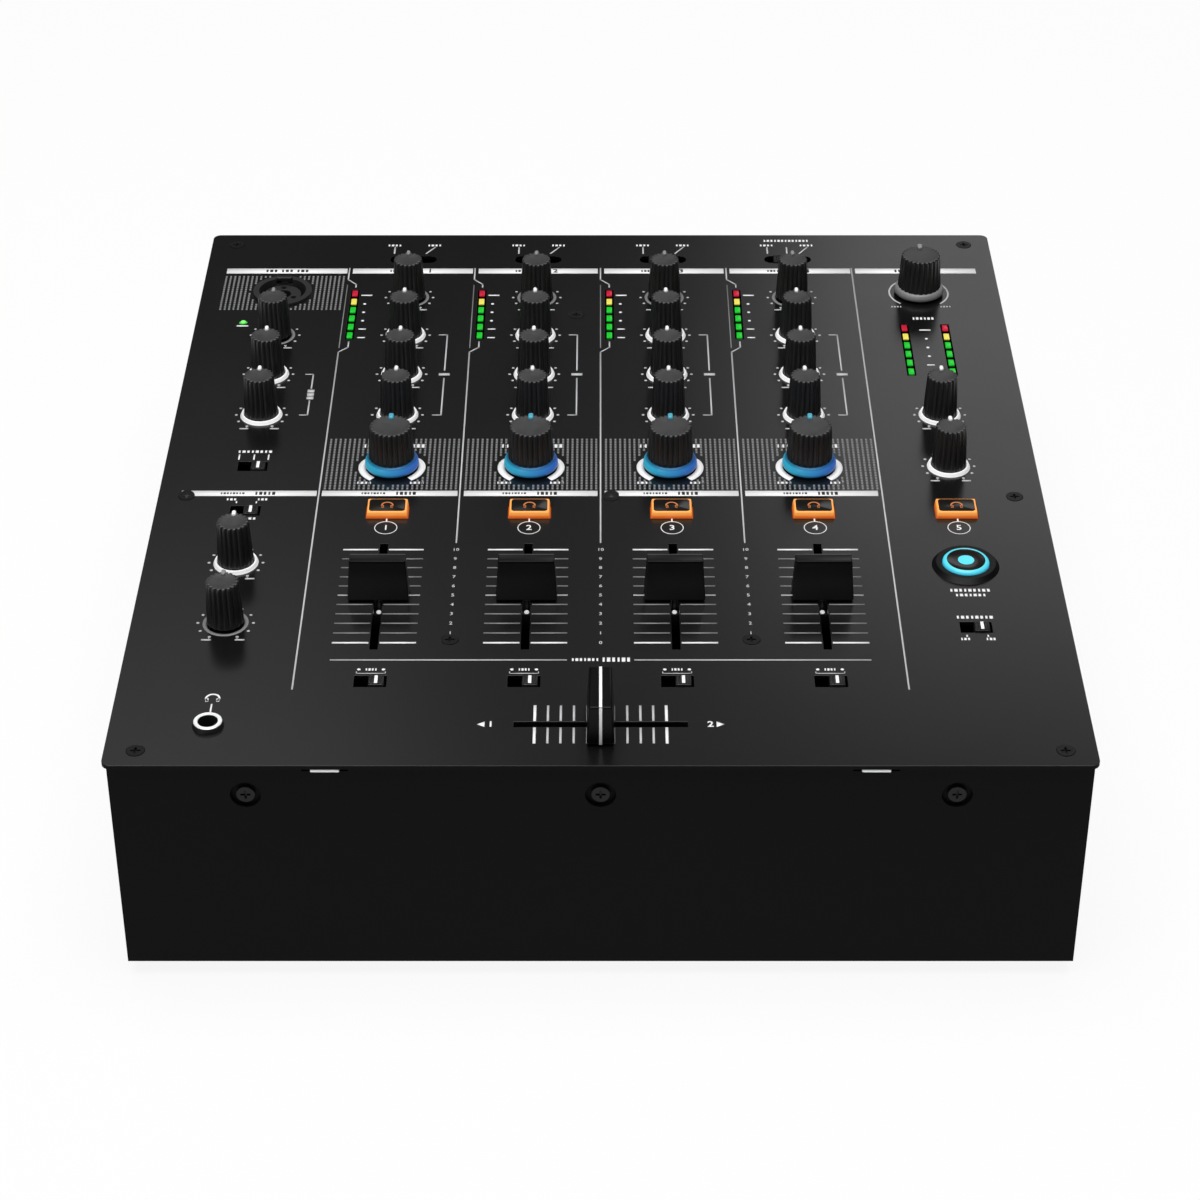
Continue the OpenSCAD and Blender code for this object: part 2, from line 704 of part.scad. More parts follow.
module dimple_cut(x) {
    translate([x, case_front_y, front_screw_z]) rotate([-90, 0, 0]) {
        translate([0, 0, -1]) cylinder(h = dimple_depth + 1, r = dimple_r);
        cylinder(h = 10, r = screw_r + fit);
    }
}

module chassis() {
    color([0.05, 0.05, 0.055]) difference() {
        union() {
            translate([-case_w / 2, case_front_y, foot_h])
                cube([case_w, case_back_y - case_front_y, sheet_t]);
            translate([-case_w / 2, case_front_y, foot_h])
                cube([case_w, sheet_t, plate_bottom - foot_h]);
            for (x = [-case_w / 2, inner_x])
                translate([x, case_front_y, foot_h])
                    cube([sheet_t, case_back_y - case_front_y, plate_bottom - foot_h]);
            for (s = [-1, 1]) side_rim(s);
            for (s = [-1, 1]) rear_flange(s);
            translate([-inner_x, inner_front_y - eps, plate_bottom - sheet_t])
                cube([2 * inner_x, front_rim_w, sheet_t]);
            for (x = front_screw_x) dimple_cup(x);
        }
        for (x = front_screw_x) {
            dimple_cut(x);
            translate([x - tab_w / 2 - play, inner_front_y - eps, plate_bottom - sheet_t - 1])
                cube([tab_w + 2 * play, dimple_depth + sheet_t + play, sheet_t + 2]);
        }
        for (s = [-1, 1])
            translate([s * notch_x - notch_w / 2, case_front_y - 1, plate_bottom - 1.8])
                cube([notch_w, sheet_t + 1.6, 3]);
        for (s = rim_screws)
            translate([s.x, s.y, plate_bottom - sheet_t - 1])
                cylinder(h = sheet_t + 2, r = screw_r + fit);
        for (s = foot_spots)
            translate([s.x, s.y, foot_h - 1]) cylinder(h = sheet_t + 2, r = screw_r + fit);
        for (s = panel_screws)
            on_rear(s, panel_inner_y - sheet_t - 1) cylinder(h = sheet_t + 2, r = screw_r + fit);
    }
}

module rear_panel() {
    color([0.05, 0.05, 0.055]) difference() {
        union() {
            translate([-inner_x, panel_inner_y, floor_top])
                cube([2 * inner_x, sheet_t, plate_bottom - sheet_t - floor_top]);
            translate([-inner_x + side_rim_w + play, panel_inner_y, floor_top])
                cube([2 * (inner_x - side_rim_w - play), sheet_t, plate_bottom - floor_top]);
        }
        for (x = rca_x, r = [0, 1])
            on_rear([x, rca_z + r * rca_row_pitch], panel_inner_y - 1)
                cylinder(h = sheet_t + 2, r = rca_r + fit);
        for (s = xlr_spots)
            on_rear(s, panel_inner_y - 1) cylinder(h = sheet_t + 2, r = xlr_r + sheet_t + fit);
        for (s = booth_spots)
            on_rear(s, panel_inner_y - 1) cylinder(h = sheet_t + 2, r = headphone_collar_r - 0.6);
        on_rear(inlet_spot, panel_inner_y - 1)
            box(inlet_w + 2 * sheet_t + 2 * fit, inlet_h + 2 * sheet_t + 2 * fit, sheet_t + 2);
        on_rear(rocker_spot, panel_inner_y - 1)
            box(rocker_w + 2 * sheet_t + 2 * fit, 2 * rocker_r + 2 * sheet_t + 2 * fit, sheet_t + 2);
        for (s = panel_screws)
            on_rear(s, panel_inner_y - 1) cylinder(h = sheet_t + 2, r = screw_r + fit);
    }
}

module rubber_feet() {
    color([0.04, 0.04, 0.04]) for (s = foot_spots) translate([s.x, s.y, 0]) difference() {
        cylinder(h = foot_h, r1 = foot_r - 1, r2 = foot_r);
        translate([0, 0, -1]) cylinder(h = foot_h - 2 + 1, r = screw_head_r + 1);
        cylinder(h = foot_h + 1, r = screw_r + fit);
    }
}

// cross recess, cut into a head whose top lies at z = 0
module cross_recess() {
    for (a = [0, 90]) rotate([0, 0, a]) translate([0, 0, -0.8]) box(3.2, 0.7, 2);
}

module flush_screw(spot) {
    translate([spot.x, spot.y, deck_z - 0.05]) difference() {
        union() {
            translate([0, 0, -plate_t]) cylinder(h = plate_t, r1 = screw_r, r2 = screw_head_r);
            translate([0, 0, -screw_l]) cylinder(h = screw_l - plate_t + eps, r = screw_r);
        }
        cross_recess();
    }
}

// pan head screw whose head seats at z = 0 and whose shank runs down
module pan_screw() {
    difference() {
        union() {
            cylinder(h = 1.4, r = screw_head_r);
            translate([0, 0, -screw_l + 1]) cylinder(h = screw_l - 1 + eps, r = screw_r);
        }
        translate([0, 0, 1.4]) cross_recess();
    }
}

module case_screws() {
    color([0.1, 0.1, 0.1]) {
        for (s = concat(rim_screws, stud_screws)) flush_screw(s);
        for (x = front_screw_x)
            translate([x, case_front_y + dimple_depth, front_screw_z]) rotate([90, 0, 0]) pan_screw();
        for (s = panel_screws) on_rear(s) pan_screw();
        for (s = foot_spots) translate([s.x, s.y, foot_h - 2]) rotate([180, 0, 0]) pan_screw();
    }
}

// ---- inside ----

module pot_body(spot) {
    translate([spot.x, spot.y, board_top]) difference() {
        union() {
            box(12, 12.5, 8);
            cylinder(h = plate_bottom + 1 - board_top, r = shaft_r + 0.7);
        }
        translate([0, 0, 2]) cylinder(h = 20, r = shaft_r + shaft_fit);
    }
}

module deck_stud(spot, bored) {
    translate([spot.x, spot.y, board_top]) difference() {
        cylinder(h = plate_bottom - board_top, r = stud_r);
        if (bored) translate([0, 0, 4]) cylinder(h = 20, r = screw_r + fit);
    }
}

module meter_bar(spot) {
    translate([spot.x, spot.y, board_top]) box(meter_w, meter_l, deck_z - led_sink - board_top);
}

module lights() {
    for (s = meter_spots, i = [0 : led_count - 1])
        translate([s.x, s.y + (i - (led_count - 1) / 2) * led_pitch, deck_z - led_sink])
            box(led_w, led_l, led_h + led_sink);
    translate([power_led_spot.x, power_led_spot.y, board_top])
        cylinder(h = deck_z + led_h - board_top, r = power_led_r);
}

module control_board() {
    difference() {
        translate([-board_x, board_front_y, board_bottom])
            cube([2 * board_x, board_rear_y - board_front_y, board_t]);
        translate([mic_spot.x, mic_spot.y, board_bottom - 1])
            cylinder(h = board_t + 2, r = mic_barrel_r + 1.5);
    }
}

module supply_unit() {
    translate([supply_spot.x, supply_spot.y, floor_top]) {
        for (x = [-1, 1], y = [-1, 1])
            translate([x * (supply_w / 2 - 6), y * (supply_d / 2 - 6), 0])
                cylinder(h = supply_stud_h + eps, r = stud_r);
        translate([0, 0, supply_stud_h]) box(supply_w, supply_d, board_t);
        translate([supply_w / 5, 5, supply_stud_h + board_t - eps])
            cylinder(h = coil_h, r = coil_r);
        for (i = [-1, 0, 1])
            translate([-supply_w / 5, i * 3 * reservoir_r, supply_stud_h + board_t - eps])
                cylinder(h = reservoir_h, r = reservoir_r);
        translate([-supply_w / 2 + 20, 0, supply_stud_h + board_t - eps]) box(sink_t, sink_l, sink_h);
    }
}

// upright board soldered to the backs of the phono sockets
module rear_board() {
    translate([rca_first_x - rca_body, panel_inner_y - rca_body - board_t, rca_z - rca_body])
        cube([rca_last_x - rca_first_x + 2 * rca_body, board_t, rca_row_pitch + 2 * rca_body]);
}

module circuit_boards() {
    color([0.1, 0.28, 0.16]) {
        control_board();
        rear_board();
        translate([0, crossfader_y, board_bottom]) box(cross_board_w, cross_board_d, board_t);
        for (s = knob_spots) pot_body(s);
        for (c = channels) translate([channel_x(c), fader_row_y, 0]) fader_track(fader_travel);
        translate([0, crossfader_y, 0]) rotate([0, 0, 90]) fader_track(crossfader_travel);
        for (s = concat(cue_spots, [pairing_spot])) tact_switch(s);
        for (s = switch_spots) switch_body(s, switch_slot_l);
        for (s = input_spots) switch_body(s, input_slot_l);
        for (s = meter_spots) meter_bar(s);
        for (s = stud_screws) deck_stud(s, true);
        for (s = concat(plain_studs, cross_studs)) deck_stud(s, false);
        supply_unit();
    }
    color([0.2, 0.85, 0.3]) lights();
}

// ---- sockets ----

// panel socket for a 6.35 mm plug: body behind the panel, collar in front of it
module plug_socket(body_l) {
    difference() {
        union() {
            translate([0, 0, -plate_t - body_l]) box(12.5, 12.5, body_l);
            translate([0, 0, -plate_t - eps])
                cylinder(h = plate_t + 2 * eps, r = headphone_collar_r - 0.7);
            cylinder(h = headphone_collar_h, r1 = headphone_collar_r, r2 = headphone_collar_r - 0.5);
        }
        translate([0, 0, headphone_collar_h - jack_bore_l])
            cylinder(h = jack_bore_l + 1, r = jack_bore_r);
    }
}

module mic_socket() {
    depth = 23;
    translate([mic_spot.x, mic_spot.y, deck_z]) difference() {
        union() {
            cylinder(h = mic_flange_h, r = mic_flange_r);
            translate([0, 0, -depth]) cylinder(h = depth + eps, r = mic_barrel_r);
        }
        translate([0, 0, -14]) difference() {
            cylinder(h = 20, r = mic_barrel_r - 1.6);
            translate([0, 0, -1]) cylinder(h = 14, r = mic_core_r);
        }
        translate([0, 0, mic_flange_h - 1.9 - jack_bore_l])
            cylinder(h = jack_bore_l + 5, r = jack_bore_r);
        for (a = [90, 210, 330]) rotate([0, 0, a])
            translate([5.2, 0, -12]) cylinder(h = 14, r = 1.1);
        translate([0, latch_y, -latch_travel - 1])
            box(latch_w + 2 * play, latch_l + 2 * play, 5);
    }
}

module mic_jack_latch() {
    color([0.06, 0.06, 0.06])
        translate([mic_spot.x, mic_spot.y + latch_y, deck_z + fit]) box(latch_w, latch_l, 1.5);
}

module rca_socket(spot) {
    on_rear(spot) difference() {
        union() {
            translate([0, 0, -sheet_t - rca_body]) box(rca_body, rca_body, rca_body);
            translate([0, 0, -sheet_t - eps]) cylinder(h = rca_l + sheet_t, r = rca_r);
        }
        translate([0, 0, rca_l - 7]) difference() {
            cylinder(h = 10, r = rca_r - 0.4);
            translate([0, 0, -1]) cylinder(h = 7, r = 3.1);
        }
        translate([0, 0, rca_l - 8]) cylinder(h = 10, r = 1.6);
    }
}

module xlr_socket(spot) {
    on_rear(spot) {
        difference() {
            union() {
                translate([0, 0, -xlr_depth - 2])
                    cylinder(h = xlr_depth + 2 + eps, r = xlr_r + sheet_t);
                rounded_plate(xlr_flange_w, xlr_flange_h, 3, 1.2);
            }
            translate([0, 0, -xlr_depth]) cylinder(h = xlr_depth + 5, r = xlr_r);
            for (s = [-1, 1])
                translate([s * (xlr_flange_w / 2 - 3.5), s * (xlr_flange_h / 2 - 3.5), -1])
                    cylinder(h = 5, r = 1.6);
        }
        for (a = [90, 210, 330]) rotate([0, 0, a])
            translate([5.2, 0, -xlr_depth - eps]) cylinder(h = xlr_depth - 5, r = 1.2);
    }
}

module power_inlet() {
    on_rear(inlet_spot) {
        difference() {
            union() {
                translate([0, 0, -inlet_depth - 2])
                    box(inlet_w + 2 * sheet_t, inlet_h + 2 * sheet_t, inlet_depth + 2 + eps);
                rounded_plate(inlet_w + 10, inlet_h + 10, 4, 1.5);
            }
            translate([0, 0, -inlet_depth]) rounded_plate(inlet_w, inlet_h, 3, inlet_depth + 5);
        }
        for (p = [[-7, 2], [0, -3], [7, 2]])
            translate([p.x, p.y, -inlet_depth - eps]) box(2, 4, inlet_depth - 5.5);
    }
}

// frame that holds the rocker in a round trough
module rocker_frame() {
    difference() {
        on_rear(rocker_spot) {
            translate([0, 0, -20])
                box(rocker_w + 2 * sheet_t, 2 * rocker_r + 2 * sheet_t, 20 + eps);
            rounded_plate(rocker_w + 6, 2 * rocker_r + 6, 1.5, 1.5);
        }
        translate([rocker_spot[0], rocker_y, rocker_spot[1]]) rotate([0, 90, 0])
            translate([0, 0, -rocker_w / 2 - play])
                cylinder(h = rocker_w + 2 * play, r = rocker_r + play);
    }
}

module power_rocker() {
    color([0.05, 0.05, 0.05])
        translate([rocker_spot[0], rocker_y, rocker_spot[1]]) rotate([rocker_tilt, 0, 0])
            rotate([0, 90, 0]) translate([0, 0, -rocker_w / 2])
                difference() {
                    cylinder(h = rocker_w, r = rocker_r);
                    for (m = [0, 1]) mirror([m, 0, 0])
                        translate([0, rocker_r - 3.5, -1]) rotate([0, 0, 14])
                            translate([-1, 0, 0]) cube([21, 10, rocker_w + 2]);
                }
}

module sockets() {
    color([0.13, 0.13, 0.14]) {
        translate([headphone_spot.x, headphone_spot.y, deck_z]) plug_socket(22);
        mic_socket();
        for (x = rca_x, r = [0, 1]) rca_socket([x, rca_z + r * rca_row_pitch]);
        for (s = booth_spots) on_rear(s) plug_socket(22);
    }
}

module flanged_sockets() {
    color([0.1, 0.1, 0.1]) {
        for (s = xlr_spots) xlr_socket(s);
        power_inlet();
        rocker_frame();
    }
}

// ---- nodes ----

faceplate();
chassis();
rear_panel();
rubber_feet();
case_screws();
circuit_boards();
sockets();
flanged_sockets();
crossfader();
cue_button(cue_spots[4]);  // cue_button_master
pairing_button();
mic_switch();
split_switch();
curve_switch();
power_rocker();
mic_jack_latch();
mic_level_knob();
mic_high_knob();
mic_low_knob();
master_knob();
booth_knob();
balance_knob();
cue_mix_knob();
cue_level_knob();
for (c = channels) {
    channel_fader(c);
    cue_button(cue_spots[c]);
    input_switch(c);
    assign_switch(c);
    gain_knob(c);
    high_knob(c);
    mid_knob(c);
    low_knob(c);
    filter_knob(strip_knobs(filter_row_y)[c]);
}
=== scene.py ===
from math import atan2, cos, hypot, pi, radians, sin

import bmesh
import bpy
from mathutils import Matrix, Vector


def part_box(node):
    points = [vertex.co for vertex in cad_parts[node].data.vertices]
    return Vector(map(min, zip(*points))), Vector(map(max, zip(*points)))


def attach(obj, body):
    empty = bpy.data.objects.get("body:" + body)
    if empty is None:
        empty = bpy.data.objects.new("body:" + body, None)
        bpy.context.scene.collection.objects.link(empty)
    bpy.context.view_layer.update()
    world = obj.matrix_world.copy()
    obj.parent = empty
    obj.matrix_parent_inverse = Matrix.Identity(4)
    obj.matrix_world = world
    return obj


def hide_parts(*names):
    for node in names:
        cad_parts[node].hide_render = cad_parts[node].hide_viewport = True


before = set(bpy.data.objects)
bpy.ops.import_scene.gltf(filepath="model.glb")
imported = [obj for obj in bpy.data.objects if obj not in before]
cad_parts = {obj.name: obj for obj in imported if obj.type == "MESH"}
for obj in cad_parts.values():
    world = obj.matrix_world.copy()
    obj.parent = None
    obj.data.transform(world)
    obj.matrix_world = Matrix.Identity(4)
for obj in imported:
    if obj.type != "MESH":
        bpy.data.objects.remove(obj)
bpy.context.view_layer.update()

mm = 0.001
tiny = 0.0005  # millimetres between corners that are merged
inkLift = 0.05  # millimetres of printing on the deck
deckTop = round(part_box("chassis")[1].z / mm, 2) + 1.5  # millimetres above the table
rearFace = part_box("rear_panel")[1].y / mm


def middle(node):
    low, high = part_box(node)
    return (low.x + high.x) / 2 / mm, (low.y + high.y) / 2 / mm


def numbered(name):
    return ["%s_%d" % (name, c) for c in range(1, 5)]


channelX = [middle(node)[0] for node in numbered("channel_fader")]
sideX = middle("booth_knob")[0]
print("frame loaded, deck at", deckTop)


def camel(node):
    words = node.split("_")
    return words[0] + "".join(w.title() for w in words[1:])


# mesh helpers, all in millimetres


def newest(bm, before):
    return list({v for f in bm.faces if f not in before for v in f.verts})


def settle(bm, before, at, slot, turn=None):
    # puts the newest faces in their place and gives them their material
    made = newest(bm, before)
    place = Matrix.Translation(at) @ (turn or Matrix.Identity(4))
    bmesh.ops.transform(bm, matrix=place, verts=made)
    for f in bm.faces:
        if f not in before:
            f.material_index = slot
    return made


def turned(bm, profile, steps, slot, at=(0, 0, 0)):
    # spins a line of (radius, height) points once round the Z axis
    before = set(bm.faces)
    verts = [bm.verts.new((r, 0, z)) for r, z in profile]
    edges = [bm.edges.new(pair) for pair in zip(verts, verts[1:])]
    bmesh.ops.spin(bm, geom=verts + edges, cent=(0, 0, 0), axis=(0, 0, 1), angle=2 * pi,
                   steps=steps, use_merge=True)
    bmesh.ops.remove_doubles(bm, verts=newest(bm, before), dist=tiny)
    return settle(bm, before, at, slot)


def roundEdges(bm, edges, width, segments, clamp=True):
    bmesh.ops.bevel(bm, geom=edges, offset=width, offset_type="OFFSET", segments=segments,
                    profile=0.5, affect="EDGES", material=-1, clamp_overlap=clamp)


def block(bm, size, at, slot=0, soft=0.0, segments=2, top=(1, 1), turn=None):
    # box standing on `at`, its top scaled by `top`, its edges rounded by `soft`
    before = set(bm.faces)
    made = bmesh.ops.create_cube(bm, size=1, matrix=Matrix.Translation((0, 0, 0.5)))["verts"]
    for v in made:
        if v.co.z > 0.5:
            v.co.x *= top[0]
            v.co.y *= top[1]
    bmesh.ops.scale(bm, vec=size, verts=made)
    if soft:
        roundEdges(bm, list({e for v in made for e in v.link_edges}), soft, segments)
    settle(bm, before, at, slot, turn)


def lifted(bm, faces, rise):
    # extrudes faces straight by a vector
    made = bmesh.ops.extrude_face_region(bm, geom=faces)["geom"]
    bmesh.ops.translate(bm, vec=rise, verts=[v for v in made if isinstance(v, bmesh.types.BMVert)])


def bar(bm, x, y, w, d, turn=0.0):
    place = Matrix.Translation((x, y, 0)) @ Matrix.Rotation(turn, 4, "Z")
    place = place @ Matrix.Diagonal((w, d, 1, 1))
    bmesh.ops.create_grid(bm, x_segments=1, y_segments=1, size=0.5, matrix=place)


def stroke(bm, points, width):
    for (x0, y0), (x1, y1) in zip(points, points[1:]):
        long = hypot(x1 - x0, y1 - y0) + width * 0.6
        bar(bm, (x0 + x1) / 2, (y0 + y1) / 2, long, width, atan2(y1 - y0, x1 - x0))


def dot(bm, x, y, r, sides=14):
    bmesh.ops.create_circle(bm, cap_ends=True, segments=sides, radius=r,
                            matrix=Matrix.Translation((x, y, 0)))


def arc(bm, x, y, inner, outer, start=0.0, end=360.0):
    a = radians(start)
    pair = [bm.verts.new((x + r * cos(a), y + r * sin(a), 0)) for r in (inner, outer)]
    edge = bm.edges.new(pair)
    sweep = radians(end - start)
    bmesh.ops.spin(bm, geom=pair + [edge], cent=(x, y, 0), axis=(0, 0, 1), angle=sweep,
                   steps=max(6, int(abs(sweep) * outer * 1.2) + 8),
                   use_merge=abs(end - start) >= 360)


def crescent(bm, x, y, inner, outer, cut, tip, side):
    # arc that is cut off square at its foot and runs out to nothing at its tip
    before = set(bm.verts)
    arc(bm, 0, 0, inner, outer, cut, tip)
    for v in [v for v in bm.verts if v not in before]:
        r, angle = hypot(v.co.x, v.co.y), atan2(v.co.y, v.co.x)
        if r > (inner + outer) / 2:
            gone = min(1.0, max(0.0, (angle - radians(cut)) / radians(tip - cut)))
            r = inner + 0.02 + (outer - inner) * (1 - gone ** 4) ** 0.7
        v.co.x = x + side * r * cos(angle)
        v.co.y = y + r * sin(angle)


def dashes(bm, x, y, w, h, count):
    # row of small blocks in the place of a word
    pitch = w / count
    for i in range(count):
        width = pitch * (0.58 + 0.14 * ((i * 5) % 3 - 1))
        bar(bm, x - w / 2 + pitch * (i + 0.5), y, width, h)


def headphones(bm, x, y, r, width):
    # headband with an ear pad curled in at each end
    arc(bm, x, y, r - width / 2, r + width / 2, -48, 228)
    for side in (-1, 1):
        bar(bm, x + side * r * 0.82, y - r * 0.45, width * 1.45, r * 0.85)


def figure(bm, x, y, text, size, bold):
    # plain figure from the built-in typeface, centred on its place
    curve = bpy.data.curves.new("figure", "FONT")
    curve.body = text
    curve.size = size
    curve.offset = bold
    curve.align_x = "CENTER"
    curve.align_y = "CENTER"
    curve.resolution_u = 2
    holder = bpy.data.objects.new("figure", curve)
    mesh = bpy.data.meshes.new_from_object(holder)
    before = set(bm.verts)
    bm.from_mesh(mesh)
    bmesh.ops.translate(bm, vec=(x, y, 0), verts=[v for v in bm.verts if v not in before])
    bpy.data.objects.remove(holder)
    bpy.data.curves.remove(curve)
    bpy.data.meshes.remove(mesh)


def meshFrom(name, bm):
    mesh = bpy.data.meshes.new(name)
    bm.to_mesh(mesh)
    bm.free()
    return mesh


def addObject(name, data):
    made = bpy.data.objects.new(name, data)
    bpy.context.scene.collection.objects.link(made)
    return made


def finishPiece(name, bm, materials, body, at=(0, 0, 0), stands=(), normals=True, sharp=35,
                plain=False):
    # plain leaves the flat sides of a folded sheet unsmoothed
    bmesh.ops.transform(bm, matrix=Matrix.Scale(mm, 4) @ Matrix.Translation(at), verts=bm.verts)
    if normals:
        bmesh.ops.recalc_face_normals(bm, faces=bm.faces)
    mesh = meshFrom(name, bm)
    mesh.set_sharp_from_angle(angle=radians(sharp))
    smooth = [not plain or max(abs(c) for c in p.normal) < 0.9995 for p in mesh.polygons]
    mesh.polygons.foreach_set("use_smooth", smooth)
    for m in materials:
        mesh.materials.append(m)
    piece = addObject(name, mesh)
    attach(piece, body)
    if stands:
        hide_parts(*stands)
    return piece


def placeCopies(nodes, bm, materials, sharp=35):
    # one copy of a control's mesh for each of its nodes
    for node in nodes:
        finishPiece(camel(node), bm.copy(), materials, node + "_body",
                    at=(*middle(node), deckTop), stands=[node], sharp=sharp)
    bm.free()


def softEdges(piece, width, segments=2, angle=40, harden=False):
    mod = piece.modifiers.new("softEdges", "BEVEL")
    mod.width = width * mm
    mod.segments = segments
    mod.limit_method = "ANGLE"
    mod.angle_limit = radians(angle)
    mod.use_clamp_overlap = True
    mod.harden_normals = harden


def fromFrame(node, pick=None):
    # copy of a CAD node's mesh in millimetres, merged; pick gives each face its material
    bm = bmesh.new()
    bm.from_mesh(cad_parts[node].data)
    bmesh.ops.scale(bm, vec=(1 / mm,) * 3, verts=bm.verts)
    bmesh.ops.remove_doubles(bm, verts=bm.verts, dist=0.002)
    bmesh.ops.dissolve_limit(bm, angle_limit=radians(0.6), verts=bm.verts, edges=bm.edges)
    for f in bm.faces:
        f.material_index = pick(f.calc_center_median(), f.normal) if pick else 0
    return bm


def asBuilt(name, bm, node, materials, edge=0.0, segments=2):
    # piece of the case that keeps the form of its node, its flat sides unsmoothed
    piece = finishPiece(name, bm, materials, "case", stands=[node], normals=False,
                        plain=True)
    if edge:
        softEdges(piece, edge, segments)


def thicken(piece, axis):
    # turns printed faces outwards along an axis and gives them their thickness
    for p in piece.data.polygons:
        if p.normal[axis] < 0:
            p.flip()
    mod = piece.modifiers.new("inkThickness", "SOLIDIFY")
    mod.thickness = inkLift * mm
    mod.offset = -1


def inkLayer(name, bm, material):
    # thin printed layer lying on the deck
    bmesh.ops.remove_doubles(bm, verts=bm.verts, dist=tiny)
    thicken(finishPiece(name, bm, [material], "case", at=(0, 0, deckTop + inkLift),
                        normals=False), 2)


# materials


def mathNode(nodes, operation, value=0.5):
    node = nodes.new("ShaderNodeMath")
    node.operation = operation
    node.inputs[1].default_value = value
    return node


def grainGroup():
    # fine moulded or painted grain: a fine noise for the bump, a slow one for shade and gloss
    group = bpy.data.node_groups.new("surfaceGrain", "ShaderNodeTree")
    face = group.interface
    for name, value in (("Grain", 2000), ("Height", 0.2), ("Patches", 18), ("Rough", 0.4),
                        ("Spread", 0.08)):
        face.new_socket(name, in_out="INPUT", socket_type="NodeSocketFloat").default_value = value
    for name, kind in (("Shade", "Float"), ("Roughness", "Float"), ("Normal", "Vector")):
        face.new_socket(name, in_out="OUTPUT", socket_type="NodeSocket" + kind)
    nodes = group.nodes
    given = nodes.new("NodeGroupInput").outputs
    result = nodes.new("NodeGroupOutput").inputs
    coords = nodes.new("ShaderNodeTexCoord").outputs["Object"]
    fine = nodes.new("ShaderNodeTexNoise")
    fine.inputs["Detail"].default_value = 2
    slow = nodes.new("ShaderNodeTexNoise")
    slow.inputs["Detail"].default_value = 5
    slow.inputs["Roughness"].default_value = 0.6
    bump = nodes.new("ShaderNodeBump")
    bump.inputs["Distance"].default_value = 0.00004
    spread = mathNode(nodes, "MULTIPLY_ADD")
    centred = mathNode(nodes, "SUBTRACT")
    for start, end in (
            (coords, fine.inputs["Vector"]), (coords, slow.inputs["Vector"]),
            (given["Grain"], fine.inputs["Scale"]), (given["Patches"], slow.inputs["Scale"]),
            (given["Height"], bump.inputs["Strength"]), (fine.outputs[0], bump.inputs["Height"]),
            (slow.outputs[0], centred.inputs[0]), (centred.outputs[0], spread.inputs[0]),
            (given["Spread"], spread.inputs[1]), (given["Rough"], spread.inputs[2]),
            (slow.outputs[0], result["Shade"]), (spread.outputs[0], result["Roughness"]),
            (bump.outputs[0], result["Normal"])):
        group.links.new(start, end)
    return group


surfaceGrain = grainGroup()


def finish(name, color, tint=None, shine=0.5, metal=0.0, lit=None, **grainLook):
    # the slow noise mixes color and tint; lit is an emission colour and its strength
    m = bpy.data.materials.new(name)
    m.use_nodes = True
    nodes, links = m.node_tree.nodes, m.node_tree.links
    sockets = nodes["Principled BSDF"].inputs
    grain = nodes.new("ShaderNodeGroup")
    grain.node_tree = surfaceGrain
    for key, value in grainLook.items():
        grain.inputs[key.title()].default_value = value
    shade = nodes.new("ShaderNodeMix")
    shade.data_type = "RGBA"
    shade.inputs["A"].default_value = (*color, 1)
    shade.inputs["B"].default_value = (*(tint or [c * 1.25 for c in color]), 1)
    links.new(grain.outputs["Shade"], shade.inputs["Factor"])
    links.new(shade.outputs["Result"], sockets["Base Color"])
    links.new(grain.outputs["Roughness"], sockets["Roughness"])
    links.new(grain.outputs["Normal"], sockets["Normal"])
    sockets["Specular IOR Level"].default_value = shine
    sockets["Metallic"].default_value = metal
    if lit:
        sockets["Emission Color"].default_value = (*lit[0], 1)
        sockets["Emission Strength"].default_value = lit[1]
    return m


def spanned(m, value, span):
    # goes from 0 to 1 while a value runs over a span
    node = m.node_tree.nodes.new("ShaderNodeMapRange")
    node.inputs["From Min"].default_value, node.inputs["From Max"].default_value = span
    m.node_tree.links.new(value, node.inputs["Value"])
    return node.outputs[0]


def glow(name, low, high, span, strength, axis="Z", rough=0.25, shadeBand=None):
    # lit translucent plastic: its colour runs from low to high over a span of the axis
    m = finish(name, high, shine=0.3, rough=rough, patches=90)
    nodes, links = m.node_tree.nodes, m.node_tree.links
    coords = nodes.new("ShaderNodeTexCoord").outputs
    split = nodes.new("ShaderNodeSeparateXYZ")
    ramp = nodes.new("ShaderNodeMix")
    ramp.data_type = "RGBA"
    ramp.inputs["A"].default_value = (*low, 1)
    ramp.inputs["B"].default_value = (*high, 1)
    links.new(coords["Normal" if axis == "X" else "Object"], split.inputs[0])
    links.new(spanned(m, split.outputs[axis], span), ramp.inputs["Factor"])
    lit = ramp.outputs["Result"]
    if shadeBand:
        # painted shade: darker at the foot and at the top edge
        height = nodes.new("ShaderNodeSeparateXYZ")
        shades = nodes.new("ShaderNodeValToRGB")
        dim = nodes.new("ShaderNodeMix")
        dim.data_type = "RGBA"
        dim.blend_type = "MULTIPLY"
        dim.inputs["Factor"].default_value = 1
        links.new(coords["Object"], height.inputs[0])
        links.new(spanned(m, height.outputs["Z"], shadeBand), shades.inputs[0])
        stops = shades.color_ramp.elements
        for along, level in ((0.0, 0.18), (0.3, 1.0), (0.72, 1.0), (1.0, 0.3)):
            stop = stops[0] if along == 0 else stops.new(along) if along < 1 else stops[-1]
            stop.color = (level, level, level, 1)
        links.new(lit, dim.inputs["A"])
        links.new(shades.outputs[0], dim.inputs["B"])
        lit = dim.outputs["Result"]
    sockets = nodes["Principled BSDF"].inputs
    links.new(lit, sockets["Base Color"])
    links.new(lit, sockets["Emission Color"])
    sockets["Emission Strength"].default_value = strength
    return m


def deckSpan(low, high):
    return (deckTop + low) * mm, (deckTop + high) * mm


